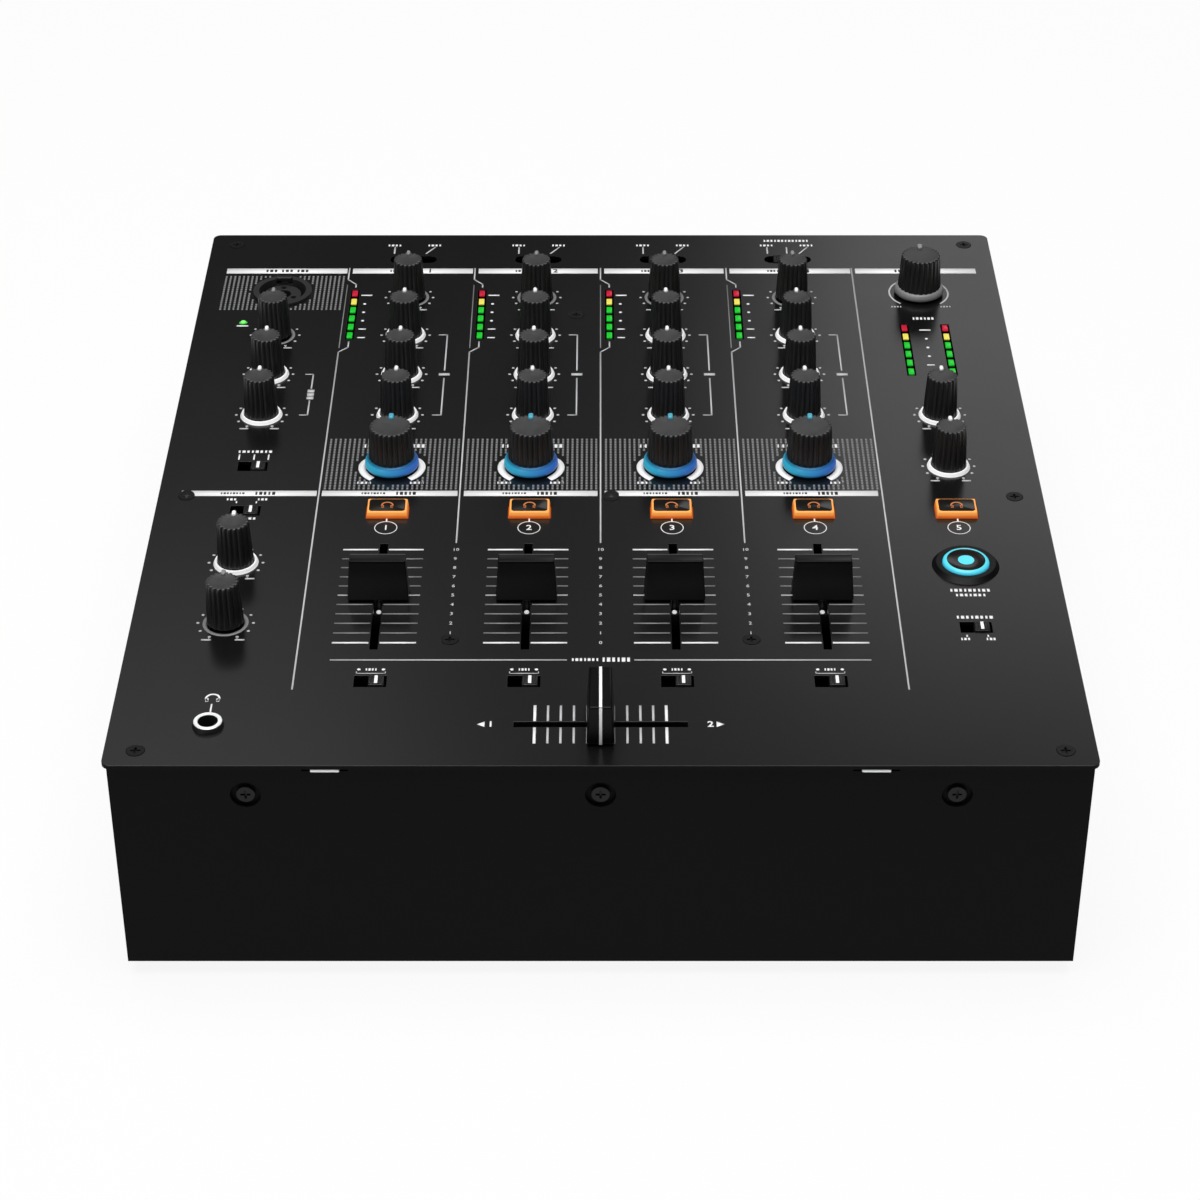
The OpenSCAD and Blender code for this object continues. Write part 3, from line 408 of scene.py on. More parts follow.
deckPaint = finish("deckPaint", (0.0028, 0.0028, 0.003), (0.0038, 0.0038, 0.004), grain=1500,
                   height=0.08, patches=14, rough=0.25, spread=0.06)
casePaint = finish("casePaint", (0.0034, 0.0036, 0.0036), (0.005, 0.0052, 0.0052), shine=0.05,
                   grain=2600, height=0.35, patches=20, rough=0.5, spread=0.1)
knobSide = finish("knobSide", (0.012, 0.012, 0.0125), (0.017, 0.017, 0.0175), grain=3200,
                  patches=120, rough=0.3, spread=0.12)
# crown grey, lighter than the wall: partly the crown's own matte finish, partly painted light on
# the top face
knobCrown = finish("knobCrown", (0.014, 0.014, 0.015), (0.046, 0.046, 0.047), shine=0.6,
                   grain=4200, height=0.5, patches=360, rough=0.5, spread=0.2)
pointerWhite = finish("pointerWhite", (0.82, 0.82, 0.82), (0.9, 0.9, 0.9), patches=200)
pointerGrey = finish("pointerGrey", (0.20, 0.205, 0.21), patches=200, rough=0.42)
pointerBlue = finish("pointerBlue", (0.05, 0.27, 0.36), lit=((0.06, 0.35, 0.48), 0.2), patches=200)
# white plastic rings; their faint emission is a painted glow that keeps the shaded sides of the
# rings white
ringWhitePaintedGlow = finish("ringWhitePaintedGlow", (0.90, 0.90, 0.90), (0.95, 0.95, 0.95), lit=((1, 1, 1), 0.1),
                   grain=2400, patches=120)
collarGrey = finish("collarGrey", (0.19, 0.19, 0.195), grain=2400, patches=90, rough=0.45,
                    spread=0.1)
capBlack = finish("capBlack", (0.0038, 0.0038, 0.0042), (0.0055, 0.0055, 0.006), shine=0.3,
                  grain=3000, height=0.22, patches=80, rough=0.36, spread=0.1)
# light grey for a painted highlight along the back top edge of the fader caps
paintedCapHighlight = finish("paintedCapHighlight", (0.07, 0.07, 0.071), grain=3000, patches=80, rough=0.34)
crossBlack = finish("crossBlack", (0.0018, 0.0018, 0.002), shine=0.12, grain=3000, height=0.12,
                    patches=80, rough=0.34)
nubBlack = finish("nubBlack", (0.006, 0.006, 0.007), grain=3000, patches=200, rough=0.38)
windowBlack = finish("windowBlack", (0.008, 0.007, 0.006), shine=0.3, patches=90, rough=0.2,
                     height=0.05)
bezelBlack = finish("bezelBlack", (0.0018, 0.0018, 0.002), shine=0.2, grain=2600, patches=60,
                    rough=0.42)
blackPlastic = finish("blackPlastic", (0.010, 0.010, 0.011), grain=2600, height=0.3, patches=60,
                      rough=0.42, spread=0.1)
# grey of the mic socket; its faint emission is painted light that lightens the socket's hollows
micGrey = finish("micGrey", (0.013, 0.013, 0.014), lit=((0.1, 0.1, 0.1), 0.03), grain=2600,
                 height=0.3, patches=60, rough=0.36, spread=0.1)
# near-black for painted shade in hollows: the crosses of the deck screws and the fader tracks
# under the slots
paintedHollowShade = finish("paintedHollowShade", (0.003, 0.003, 0.004), shine=0.2, patches=60, rough=0.6)
navyHollow = finish("navyHollow", (0.014, 0.032, 0.30), shine=0.2, patches=60, rough=0.5)
whitePlastic = finish("whitePlastic", (0.74, 0.74, 0.72), patches=120, rough=0.42)
redPlastic = finish("redPlastic", (0.45, 0.02, 0.02), patches=120)
# glowing white for the dome on each channel fader's carriage: a painted highlight seen through the
# slot
paintedGlint = finish("paintedGlint", (0.9, 0.9, 0.9), lit=((1, 1, 1), 0.4), patches=120)
screwBlack = finish("screwBlack", (0.0055, 0.0055, 0.006), shine=0.2, grain=3500, patches=200,
                    rough=0.4, spread=0.15)
nickel = finish("nickel", (0.62, 0.61, 0.59), metal=1.0, grain=2500, height=0.08, patches=150,
                rough=0.24, spread=0.15)
ringSteel = finish("ringSteel", (0.85, 0.86, 0.86), metal=0.35, grain=2500, height=0.08,
                   patches=150, rough=0.42, spread=0.12)
footRubber = finish("footRubber", (0.012, 0.012, 0.012), grain=1800, height=0.6, patches=60,
                    rough=0.75, spread=0.1)
boardGreen = finish("boardGreen", (0.008, 0.05, 0.02), grain=900, patches=40, rough=0.35)

printed = {"grain": 5000, "height": 0.1, "patches": 60, "rough": 0.5}
inkWhite = finish("inkWhite", (0.86, 0.86, 0.86), (0.92, 0.92, 0.92), **printed)
inkGrey = finish("inkGrey", (0.19, 0.19, 0.195), (0.24, 0.24, 0.245), **printed)
inkLine = finish("inkLine", (0.48, 0.48, 0.49), (0.58, 0.58, 0.59), **printed)
inkBlack = finish("inkBlack", (0.012, 0.012, 0.012), shine=0.2, **printed)
inkOrange = finish("inkOrange", (0.40, 0.13, 0.04), lit=((0.5, 0.16, 0.05), 0.25), patches=90)

# greener and brighter on the left side than on the right, and darker at its foot and top edge in
# painted shade
skirtBlue = glow("skirtBlue", (0.026, 0.33, 0.50), (0.030, 0.125, 0.46), (-0.75, 0.75), 0.42,
                 axis="X", rough=0.3, shadeBand=deckSpan(1, 4.5))
lensOrange = glow("lensOrange", (0.60, 0.10, 0.010), (0.80, 0.30, 0.065), deckSpan(0.1, 1.2),
                  0.55, rough=0.32)
lensCyan = glow("lensCyan", (0.04, 0.42, 0.62), (0.085, 0.56, 0.66), deckSpan(1.4, 2.6), 0.38,
                rough=0.3)
ledPower = glow("ledPower", (0.03, 0.42, 0.04), (0.20, 0.80, 0.16), deckSpan(-0.1, 0.5), 0.55)
print("materials ready")

# case

bezelRadius = 13
foldedEdge = 3.2  # width of the deck's rolled border
toneRing = {"outer": 7.9, "top": 7.35, "slack": 0.3}


def dressDeck():
    pairX, pairY = middle("pairing_button")
    low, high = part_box("faceplate")
    borderX, borderY = high.x / mm - foldedEdge, -low.y / mm - foldedEdge

    def pick(c, n):
        if c.z > deckTop + 0.01:
            return 1 if hypot(c.x - pairX, c.y - pairY) < bezelRadius else 2
        outer = abs(c.x) > borderX or abs(c.y) > borderY
        return 3 if outer and abs(n.z) < 0.5 or n.z < -0.5 else 0
    bm = fromFrame("faceplate", pick)
    # the outer wall of each raised ring leans in to its top
    spots = [middle(node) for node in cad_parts
             if node.startswith(("high_", "mid_", "low_", "mic_high", "mic_low", "booth_knob",
                                 "balance", "cue_mix"))]
    for v in bm.verts:
        if v.co.z > deckTop + 0.6:
            x, y = min(spots, key=lambda p: hypot(v.co.x - p[0], v.co.y - p[1]))
            r = hypot(v.co.x - x, v.co.y - y)
            if abs(r - toneRing["outer"]) < toneRing["slack"]:
                v.co.x = x + (v.co.x - x) * toneRing["top"] / r
                v.co.y = y + (v.co.y - y) * toneRing["top"] / r
    asBuilt("deck", bm, "faceplate", [deckPaint, bezelBlack, ringWhitePaintedGlow, casePaint], 0.2)


screwHead = {"below": 0.3, "cross": 1.5, "proud": 0.18}


def dressCase():
    asBuilt("caseTray", fromFrame("chassis"), "chassis", [casePaint], 0.3)
    asBuilt("rearPanel", fromFrame("rear_panel"), "rear_panel", [casePaint], 0.15, 1)
    asBuilt("rubberFeet", fromFrame("rubber_feet"), "rubber_feet", [footRubber], 0.5)
    top = deckTop - screwHead["below"]

    def pick(c, n):
        # painted shade: the cross cut into each deck screw is darker than its head
        return 1 if deckTop - screwHead["cross"] < c.z < top else 0
    bm = fromFrame("case_screws", pick)
    for v in bm.verts:
        if v.co.z > top:
            v.co.z += screwHead["proud"]  # the heads stand a hair above the printing
    asBuilt("caseScrews", bm, "case_screws", [screwBlack, paintedHollowShade], 0.12, 1)


frontTab = {"x": 88.5, "width": 9.4, "height": 1.1, "thick": 1.2, "below": 3.6, "ahead": 0.4}


def frontTabs():
    # bright ends of the deck's hooks, seen in the two notches of the front wall
    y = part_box("chassis")[0].y / mm - frontTab["ahead"] + frontTab["thick"] / 2
    for side, name in ((-1, "frontTabLeft"), (1, "frontTabRight")):
        bm = bmesh.new()
        block(bm, (frontTab["width"], frontTab["thick"], frontTab["height"]),
              (side * frontTab["x"], y, deckTop - frontTab["below"]), soft=0.3)
        finishPiece(name, bm, [ringSteel], "case")


dressDeck()
dressCase()
frontTabs()
print("case dressed")

# knobs

smallKnob = {"flutes": 18, "depth": 0.56, "edge": 4.85, "top": 17.5, "pointer": (1.5, 2.8, 1.5),
             "reach": 6.0}
bigKnob = {"flutes": 24, "depth": 0.6, "edge": 6.95, "top": 17.5, "pointer": (1.9, 3.2, 1.5),
           "reach": 7.8}
flute = {"fade": 1.2, "crown": 1.35, "narrow": 2.4}
shaft = {"radius": 3.0, "bottom": -11.6, "top": 1.05}


def fluteSides(verts, look, zLow, zHigh):
    # presses narrow grooves into the wall, fading out towards the foot
    for v in verts:
        r = hypot(v.co.x, v.co.y)
        if r < look["edge"] or not zLow <= v.co.z <= zHigh:
            continue
        wave = 0.5 - 0.5 * cos(look["flutes"] * atan2(v.co.y, v.co.x))
        fade = min(1.0, (v.co.z - zLow) / flute["fade"] + 0.15)
        deep = look["depth"] * (flute["crown"] if v.co.z > look["top"] - 0.7 else 1)
        shrink = 1 - deep * wave ** flute["narrow"] * fade / r
        v.co.x *= shrink
        v.co.y *= shrink


def knobBody(bm, look, side, crown):
    # material slots: 0 wall, 1 crown, 2 pointer, 3 shaft
    steps = look["flutes"] * 10
    for slot, profile in enumerate((side, crown)):
        verts = turned(bm, profile, steps, slot)
        fluteSides(verts, look, side[1][1], look["top"] + slot)
    bmesh.ops.remove_doubles(bm, verts=bm.verts, dist=0.01)
    r, low, high = shaft["radius"], shaft["bottom"], shaft["top"]
    turned(bm, [(0, low), (r - 0.4, low), (r, low + 0.4), (r, high), (0, high)], 24, 3)
    w, l, h = look["pointer"]
    block(bm, (w, l, h), (0, look["reach"] - l / 2, look["top"] - h + 0.8), 2, soft=0.62,
          segments=3)


def smallKnobMesh():
    bm = bmesh.new()
    top = smallKnob["top"]
    side = [(0, 1.0), (5.9, 1.0), (6.3, 1.15), (6.4, 1.5), (6.36, 2.4), (6.22, 5), (6.05, 9),
            (5.82, 13), (5.68, 16.2), (5.62, 16.9), (5.5, 17.25)]
    crown = [(5.5, 17.25), (5.25, top - 0.06), (5.0, top), (4.6, top - 0.04), (4.3, top - 0.16),
             (2, top - 0.32), (0, top - 0.36)]
    knobBody(bm, smallKnob, side, crown)
    return bm


def bigKnobMesh(foot, footRadius, skirt):
    bm = bmesh.new()
    top = bigKnob["top"]
    side = [(0, foot), (footRadius - 0.2, foot), (footRadius, foot + 0.3),
            (footRadius - 0.06, foot + 2), (8.2, 9), (7.92, 14), (7.78, 16.3), (7.7, 16.9),
            (7.55, 17.25)]
    crown = [(7.55, 17.25), (7.3, top - 0.06), (7.05, top), (6.6, top - 0.04), (6.2, top - 0.16),
             (3, top - 0.36), (0, top - 0.4)]
    knobBody(bm, bigKnob, side, crown)
    turned(bm, skirt, 72, 4)
    return bm


def buildKnobs():
    small = smallKnobMesh()
    placeCopies(numbered("gain_knob") + ["mic_level_knob", "cue_level_knob"], small.copy(),
                [knobSide, knobCrown, pointerGrey, nickel], 50)
    placeCopies(numbered("high_knob") + numbered("mid_knob") + numbered("low_knob")
                + ["mic_high_knob", "mic_low_knob", "booth_knob", "balance_knob", "cue_mix_knob"],
                small, [knobSide, knobCrown, pointerWhite, nickel], 50)
    skirt = [(3.2, 1.0), (9.7, 1.0), (9.9, 1.3), (9.85, 2.1), (9.65, 3.0), (9.35, 3.7),
             (8.95, 4.3), (8.5, 4.5), (3.2, 4.5)]
    placeCopies(numbered("filter_knob"), bigKnobMesh(4.3, 8.4, skirt),
                [knobSide, knobCrown, pointerBlue, nickel, skirtBlue], 50)
    collar = [(3.2, 1.0), (9.5, 1.0), (9.8, 1.3), (9.75, 2.2), (9.5, 3.0), (9.1, 3.6),
              (8.5, 3.8), (3.2, 3.8)]
    placeCopies(["master_knob"], bigKnobMesh(3.0, 8.6, collar),
                [knobSide, knobCrown, pointerGrey, nickel, collarGrey], 50)


buildKnobs()
print("knobs turned")

# faders

faderCap = {"base": (21.1, 9.2), "topLength": 19.3, "topFront": -1.5, "topBack": 3.3, "low": 0.8,
            "high": 15.2, "hollow": 0.7, "dish": 0.25, "soft": 0.6}
crossCap = {"base": (24.2, 9.2), "topLength": 22.6, "topFront": -3.8, "topBack": 3.8, "low": 0.8,
            "high": 15.2, "hollow": 0.15, "dish": 0.0, "soft": 0.7}
# the carriage's dot is a small white dome that stands for a painted highlight
carriage = {"size": (8, 8.8, 6.6), "drop": 5.0, "lever": (1.6, 3.2, 17), "dot": (-3.2, 0.9)}


def capOutline(look):
    # side view of a cap as (y, z) points, from its front foot over the top to its back foot
    low, tall, half = look["low"], look["high"] - look["low"], look["base"][1] / 2
    wide = look["topBack"] - look["topFront"]
    steps = (0, 0.06, 0.2, 0.35, 0.5, 0.65, 0.8, 0.94, 1)
    outline = [(-half + (look["topFront"] + half) * t + look["hollow"] * sin(pi * t),
                low + tall * t) for t in steps]
    outline += [(look["topFront"] + wide * t, look["high"] - look["dish"] * sin(pi * t))
                for t in (0.12, 0.3, 0.5, 0.7, 0.88)]
    outline += [(half + (look["topBack"] - half) * t - look["hollow"] * 0.3 * sin(pi * t),
                 low + tall * t) for t in reversed(steps)]
    return outline


def faderMesh(look, line):
    # cap, lever and carriage of a fader that runs along Y
    bm = bmesh.new()
    low, high = look["low"], look["high"]
    tall = high - low
    lifted(bm, [bm.faces.new([bm.verts.new((-0.5, y, z)) for y, z in capOutline(look)])],
           (1, 0, 0))
    for v in bm.verts:
        t = (v.co.z - low) / tall
        v.co.x *= look["base"][0] + (look["topLength"] - look["base"][0]) * t
    bmesh.ops.recalc_face_normals(bm, faces=bm.faces)
    roundEdges(bm, [e for e in bm.edges if e.calc_face_angle(0) > radians(35)], look["soft"], 3)
    if not line:
        for f in bm.faces:
            c = f.calc_center_median()
            # painted highlight along the back top edge
            if c.z > high - 0.45 and c.y > look["topBack"] - 0.6:
                f.material_index = 1
            if c.z > high - 0.9 and c.y < look["topFront"] + 0.8:
                f.material_index = 4  # darker, duller front top edge: painted shade in place of its highlight
    block(bm, carriage["lever"], (0, 0, -6), 2, soft=0.2)
    block(bm, carriage["size"], (0, 0, -carriage["drop"] - carriage["size"][2]), 2, soft=0.6)
    # small white dome on the carriage, under the slot in front of the cap: a painted highlight
    glintY, glintR = carriage["dot"]
    turned(bm, [(0, 0), (glintR, 0), (glintR * 0.9, 0.4), (glintR * 0.5, 0.75), (0, 0.85)], 20, 3,
           at=(0, glintY, -carriage["drop"] - 0.05))
    if line:
        # the line runs along the top and down both ends
        reach, reachTop = look["base"][0] / 2, look["topLength"] / 2
        block(bm, (reachTop * 2 - 0.5, line, 0.3), (0, 0, high - 0.22), 4, soft=0.08)
        lean = atan2(reach - reachTop, tall)
        for side in (-1, 1):
            turn = Matrix.Rotation(side * -lean, 4, "Y")
            block(bm, (0.3, line, tall - 0.35), (side * (reach - 0.08), 0, low + 0.05), 4,
                  soft=0.08, turn=turn)
    return bm


def buildFaders():
    placeCopies(numbered("channel_fader"), faderMesh(faderCap, 0),
                [capBlack, paintedCapHighlight, blackPlastic, paintedGlint, crossBlack])
    bm = faderMesh(crossCap, 1.0)
    bm.transform(Matrix.Rotation(pi / 2, 4, "Z"))
    placeCopies(["crossfader"], bm,
                [crossBlack, paintedCapHighlight, blackPlastic, whitePlastic, pointerWhite])


buildFaders()
print("faders built")

# buttons

cueButton = {"base": (14.8, 9.6), "top": (14.1, 8.9), "high": 2.3, "sunk": 2.9,
             "window": (13.0, 7.8, 0.4), "corner": 1.2, "icon": 1.95, "line": 0.58}
pairButton = {"radius": 8.2, "rim": 6.95, "sill": 6.7, "dot": 2.85}


def buttonStem(bm):
    turned(bm, [(0, -10.55), (1.5, -10.55), (1.7, -10.3), (1.7, -2.6), (0, -2.6)], 20, 0)


def windowPlate(bm, z, slot):
    # dark window with round corners
    before = set(bm.faces)
    made = bmesh.ops.create_cube(bm, size=1, matrix=Matrix.Translation((0, 0, 0.5)))["verts"]
    bmesh.ops.scale(bm, vec=cueButton["window"], verts=made)
    upright = [e for e in {e for v in made for e in v.link_edges}
               if abs(e.verts[0].co.z - e.verts[1].co.z) > 0.1]
    roundEdges(bm, upright, cueButton["corner"], 6, False)
    rim = [e for e in {e for v in newest(bm, before) for e in v.link_edges}
           if min(v.co.z for v in e.verts) > 0.3]
    roundEdges(bm, rim, 0.12, 2, False)
    settle(bm, before, (0, 0.1, z), slot)


def cueButtonMesh():
    bm = bmesh.new()
    w, d = cueButton["base"]
    high, sunk = cueButton["high"], cueButton["sunk"]
    block(bm, (w, d, sunk - 0.1), (0, 0, -sunk + 0.05), 0, soft=0.15)
    block(bm, (w, d, high), (0, 0, 0), 0, soft=0.4, segments=3,
          top=(cueButton["top"][0] / w, cueButton["top"][1] / d))
    windowPlate(bm, high - 0.32, 1)
    buttonStem(bm)
    block(bm, (w + 1.8, d + 1.4, 1), (0, 0, -sunk), 0, soft=0.2)  # retaining rim
    # raised headphone sign
    sign = bmesh.new()
    headphones(sign, 0, -0.1, cueButton["icon"], cueButton["line"])
    sign.transform(Matrix.Translation((0, 0, high + 0.1)))
    lifted(sign, sign.faces, (0, 0, -0.15))
    for f in sign.faces:
        f.material_index = 2
    mesh = meshFrom("sign", sign)
    bm.from_mesh(mesh)
    bpy.data.meshes.remove(mesh)
    return bm


def pairButtonMesh():
    bm = bmesh.new()
    r, rim, sill = pairButton["radius"], pairButton["rim"], pairButton["sill"]
    turned(bm, [(0, -2.9), (r + 0.9, -2.9), (r + 0.9, -1.9), (r, -1.9), (r, 1.55),
                (r - 0.1, 1.85), (r - 0.5, 2.3), (rim + 0.1, 2.62), (rim - 0.08, 2.68),
                (sill, 2.55)], 72, 0)
    turned(bm, [(sill, 2.55), (sill - 0.2, 2.42), (3, 2.38), (0, 2.36)], 72, 1)
    size = pairButton["dot"]
    turned(bm, [(0, 2.3), (size, 2.3), (size, 2.44), (size - 0.15, 2.5), (0, 2.5)], 40, 2)
    buttonStem(bm)
    return bm


placeCopies(numbered("cue_button") + ["cue_button_master"], cueButtonMesh(),
            [lensOrange, windowBlack, inkOrange])
placeCopies(["pairing_button"], pairButtonMesh(), [lensCyan, windowBlack, lensCyan])
print("buttons built")

# slide switches

nub = {"size": (5.2, 5.2), "bottom": -7.1, "high": 0.9, "line": (1.1, 4.3, 0.25), "pitch": 1.05}


def nubMesh(line):
    bm = bmesh.new()
    (w, d), high = nub["size"], nub["high"]
    block(bm, (w, d, high - nub["bottom"] - 0.4), (0, 0, nub["bottom"]), 0, soft=0.25)
    for i in (-2, -1, 1, 2):
        block(bm, (0.55, d - 0.5, 0.5), (i * nub["pitch"], 0, high - 0.5), 0, soft=0.18)
    block(bm, (1.3, d - 0.5, 0.5), (0, 0, high - 0.55), 0, soft=0.1)
    if line:
        block(bm, nub["line"], (0, 0, high - 0.25), 1, soft=0.05)
    return bm


placeCopies(numbered("assign_switch") + ["mic_switch", "split_switch", "curve_switch"],
            nubMesh(True), [nubBlack, pointerWhite])
placeCopies(numbered("input_switch"), nubMesh(False), [nubBlack, pointerWhite])
print("switches built")

# level meters

meter = {"lens": (2.2, 4.4), "pitch": 6.7, "count": 6, "sunk": 0.4, "high": 0.2,
         "x": [x - 22 for x in channelX] + [sideX - 8, sideX + 8],
         "y": [middle("gain_knob_1")[1] - 13.45] * 4 + [middle("master_knob")[1] - 45.1] * 2}
powerLight = {"at": (-sideX - 13.5, middle("high_knob_1")[1] + 10.3), "radius": 1.6,
              "lens": 1.15}


def buildMeters():
    rowLights = {"Red": ((0.34, 0.006, 0.022), (0.38, 0.008, 0.027), [5]),
                 "Yellow": ((0.52, 0.46, 0.065), (0.56, 0.50, 0.08), [4]),
                 "Green": ((0.005, 0.34, 0.016), (0.006, 0.38, 0.020), [0, 1, 2, 3])}
    for name, (low, high, rows) in rowLights.items():
        glass = glow("led" + name, low, high, deckSpan(0, 0.3), 0.5)
        bm = bmesh.new()
        for x, mid in zip(meter["x"], meter["y"]):
            for row in rows:
                y = mid + (row - (meter["count"] - 1) / 2) * meter["pitch"]
                block(bm, (*meter["lens"], meter["sunk"] + meter["high"]),
                      (x, y, deckTop - meter["sunk"]), 0, soft=0.18)
        finishPiece("leds" + name, bm, [glass], "case")
    r, lens = powerLight["radius"], powerLight["lens"]
    bm = bmesh.new()
    turned(bm, [(0, -14), (r, -14), (r, -0.3), (lens, -0.25), (lens, 0.1), (lens - 0.2, 0.3),
                (lens - 0.6, 0.44), (0, 0.48)], 24, 0, at=(*powerLight["at"], deckTop))
    finishPiece("powerLens", bm, [ledPower], "case")


buildMeters()
print("meters lit")

# inside the case


def dropSolids(bm, above):
    # removes each separate solid that reaches over a height
    gone = {v for v in bm.verts if v.co.z > above}
    edge = list(gone)
    while edge:
        v = edge.pop()
        for e in v.link_edges:
            other = e.other_vert(v)
            if other not in gone:
                gone.add(other)
                edge.append(other)
    bmesh.ops.delete(bm, geom=list(gone), context="VERTS")


boards = {"below": 14, "curveReach": 9, "trackReach": (6.2, 46)}


def dressInside():
    boardTop = deckTop - boards["below"]
    curveX, curveY = sideX, middle("curve_switch")[1]
    faderY = middle("channel_fader_1")[1]
    reachX, reachY = boards["trackReach"]

    def pick(c, n):
        # 0 board, 1 plastic body, 2 fader track darkened with painted shade, 3 body under the
        # curve switch
        if c.z < boardTop + 0.05:
            return 0
        if hypot(c.x - curveX, c.y - curveY) < boards["curveReach"]:
            return 3
        inTrack = abs(c.y - faderY) < reachY and min(abs(c.x - x) for x in channelX) < reachX
        return 2 if inTrack else 1
    bm = fromFrame("circuit_boards", pick)
    dropSolids(bm, deckTop - 0.3)  # the lights are built above
    asBuilt("circuitBoards", bm, "circuit_boards",
            [boardGreen, blackPlastic, paintedHollowShade, navyHollow])


# sockets

rear = {"phonoMiddle": 4, "phonoPitch": 16, "phonoCount": 8, "low": 33.5, "high": 51.5,
        "middle": 42.5, "outputs": (-78, -108), "inlet": 102, "booth": -138}
jack = {"at": (-sideX, -157.5), "inner": 3.3, "outer": 4.7, "high": 1.7}
nut = {"outer": 6.6, "inner": 5.35, "thick": 1.4}


def signalFinish(c, n):
    # 0 black plastic, 1 nickel, 2 white insulator, 3 red insulator, 4 mic socket grey with painted
    # light in its hollows
    if c.y < rearFace - 18 or c.z > 62:
        return 4 if c.y > 100 and c.z > deckTop - 9 else 0
    places = [rear["phonoMiddle"] + (i - 3.5) * rear["phonoPitch"]
              for i in range(rear["phonoCount"])]
    x = min(places, key=lambda p: abs(c.x - p))
    ahead = c.y - rearFace
    for z, insulator in ((rear["low"], 3), (rear["high"], 2)):
        r = hypot(c.x - x, c.z - z)
        if r < 5:
            if 7.2 < ahead < 7.8:
                return insulator
            if r > 3.6 and ahead > -0.5 or ahead > 8.2 or r < 1.75:
                return 1
            return insulator if r < 3.3 and ahead > -2 else 0
    return 0


def flangedFinish(c, n):
    # contact pins of the output sockets and the inlet are nickel
    for x in rear["outputs"]:
        r = hypot(c.x - x, c.z - rear["middle"])
        if abs(r - 5.2) < 1.4 and rearFace - 14.9 < c.y < rearFace - 0.5:
            return 1
    dx, dz = abs(c.x - rear["inlet"]), abs(c.z - rear["middle"])
    return 1 if dx < 8.2 and dz < 6 and rearFace - 15.9 < c.y < rearFace - 3 else 0


def dressSockets():
    for node, pick in (("sockets", signalFinish), ("flanged_sockets", flangedFinish)):
        asBuilt(camel(node), fromFrame(node, pick), node,
                [blackPlastic, nickel, whitePlastic, redPlastic, micGrey], 0.16)
    # pale ring on the headphone socket's collar
    bm = bmesh.new()
    inner, outer, high = jack["inner"], jack["outer"], jack["high"]
    turned(bm, [(inner, high - 0.6), (inner, high + 0.05), (inner + 0.2, high + 0.25),
                (outer - 0.25, high + 0.25), (outer, high + 0.05), (outer, high - 0.6),
                (inner, high - 0.6)], 56, 0, at=(*jack["at"], deckTop))
    finishPiece("headphoneRing", bm, [ringSteel], "case")
    # hexagon nuts round the booth sockets
    for name, z in (("boothNutLeft", rear["high"]), ("boothNutRight", rear["low"])):
        bm = bmesh.new()
        for r in (nut["outer"], nut["inner"]):
            bmesh.ops.create_cone(bm, cap_ends=False, segments=6, radius1=r, radius2=r,
                                  depth=nut["thick"],
                                  matrix=Matrix.Translation((0, 0, nut["thick"] / 2)))
        for level in (0, nut["thick"]):
            rim = [e for e in bm.edges if all(abs(v.co.z - level) < 0.01 for v in e.verts)]
            bmesh.ops.bridge_loops(bm, edges=rim)
        bm.transform(Matrix.Translation((rear["booth"], rearFace, z))
                     @ Matrix.Rotation(-pi / 2, 4, "X"))
        softEdges(finishPiece(name, bm, [nickel], "case"), 0.2, 2, 30)
    for node, material, edge in (("power_rocker", nubBlack, 0.4),
                                 ("mic_jack_latch", blackPlastic, 0.3)):
        piece = finishPiece(camel(node), fromFrame(node), [material], node + "_body",
                            stands=[node], normals=False)
        softEdges(piece, edge, 3, harden=True)


dressInside()
dressSockets()
print("sockets dressed")

# printing on the deck

marks = {
    "thinRing": (6.6, 7.85), "dots": (9.45, 0.56), "legend": (5.7, -9.9, 3.3),
    "separator": 0.55, "crescent": (9.7, 12.45, -52, 38), "hatchPitch": 1.76,
    "hatchDash": (0.75, 1.36), "header": (148.15, 4.1), "second": (-18.45, 3.5), "cueY": -41,
    "channelFigure": 4.4,
    "scale": [-55, -60.8, -66.3, -72, -77.6, -83.2, -88.8, -94.4, -100, -105.7, -111.4],
    "scaleMark": (8.05, 12.3), "scaleFigure": 2.4, "crossTicks": [4.3, 8.7, 13, 17.2, 21.5],
    "crossRows": (-151.0, -163.0), "crossY": -157, "assignLine": -121.3, "assignLabel": -126.7,
}
separators = [-102, -51, 0, 51]
headerBars = [(-151.7, -102.8), (-100.6, -51.8), (-49.5, -1.1), (1.5, 50), (52.4, 101.4),
              (103.4, 152.4)]
secondBars = [(-151.8, -102.8), (-100.9, -51.8), (-49.5, -1.1), (1.5, 50), (52.4, 100.5)]


def knobDots(bm, x, y):
    radius, size = marks["dots"]
    for step in range(-5, 6):
        a = radians(90 - step * 30)
        dot(bm, x + radius * cos(a), y + radius * sin(a), size, 10)


def knobLegend(bm, x, y):
    # short block with a tick under each end of the knob's scale
    dx, dy, wide = marks["legend"]
    for side in (-1, 1):
        bar(bm, x + side * dx, y + dy, wide, 0.8)
        bar(bm, x + side * (dx - 0.9), y + dy + 1.1, 0.45, 0.8)


def printBars(bm):
    for bars, (y, high) in ((headerBars, marks["header"]), (secondBars, marks["second"])):
        for x0, x1 in bars:
            bar(bm, (x0 + x1) / 2, y, x1 - x0, high)


def printFilters(bm):
    for node in numbered("filter_knob"):
        x, y = middle(node)
        for side in (-1, 1):
            crescent(bm, x, y, *marks["crescent"], side)
            dashes(bm, x + side * 9, y + 14, 5.2, 2.4, 3)
            dashes(bm, x + side * 9.6, y - 11.3, 5.8, 1.4, 4)


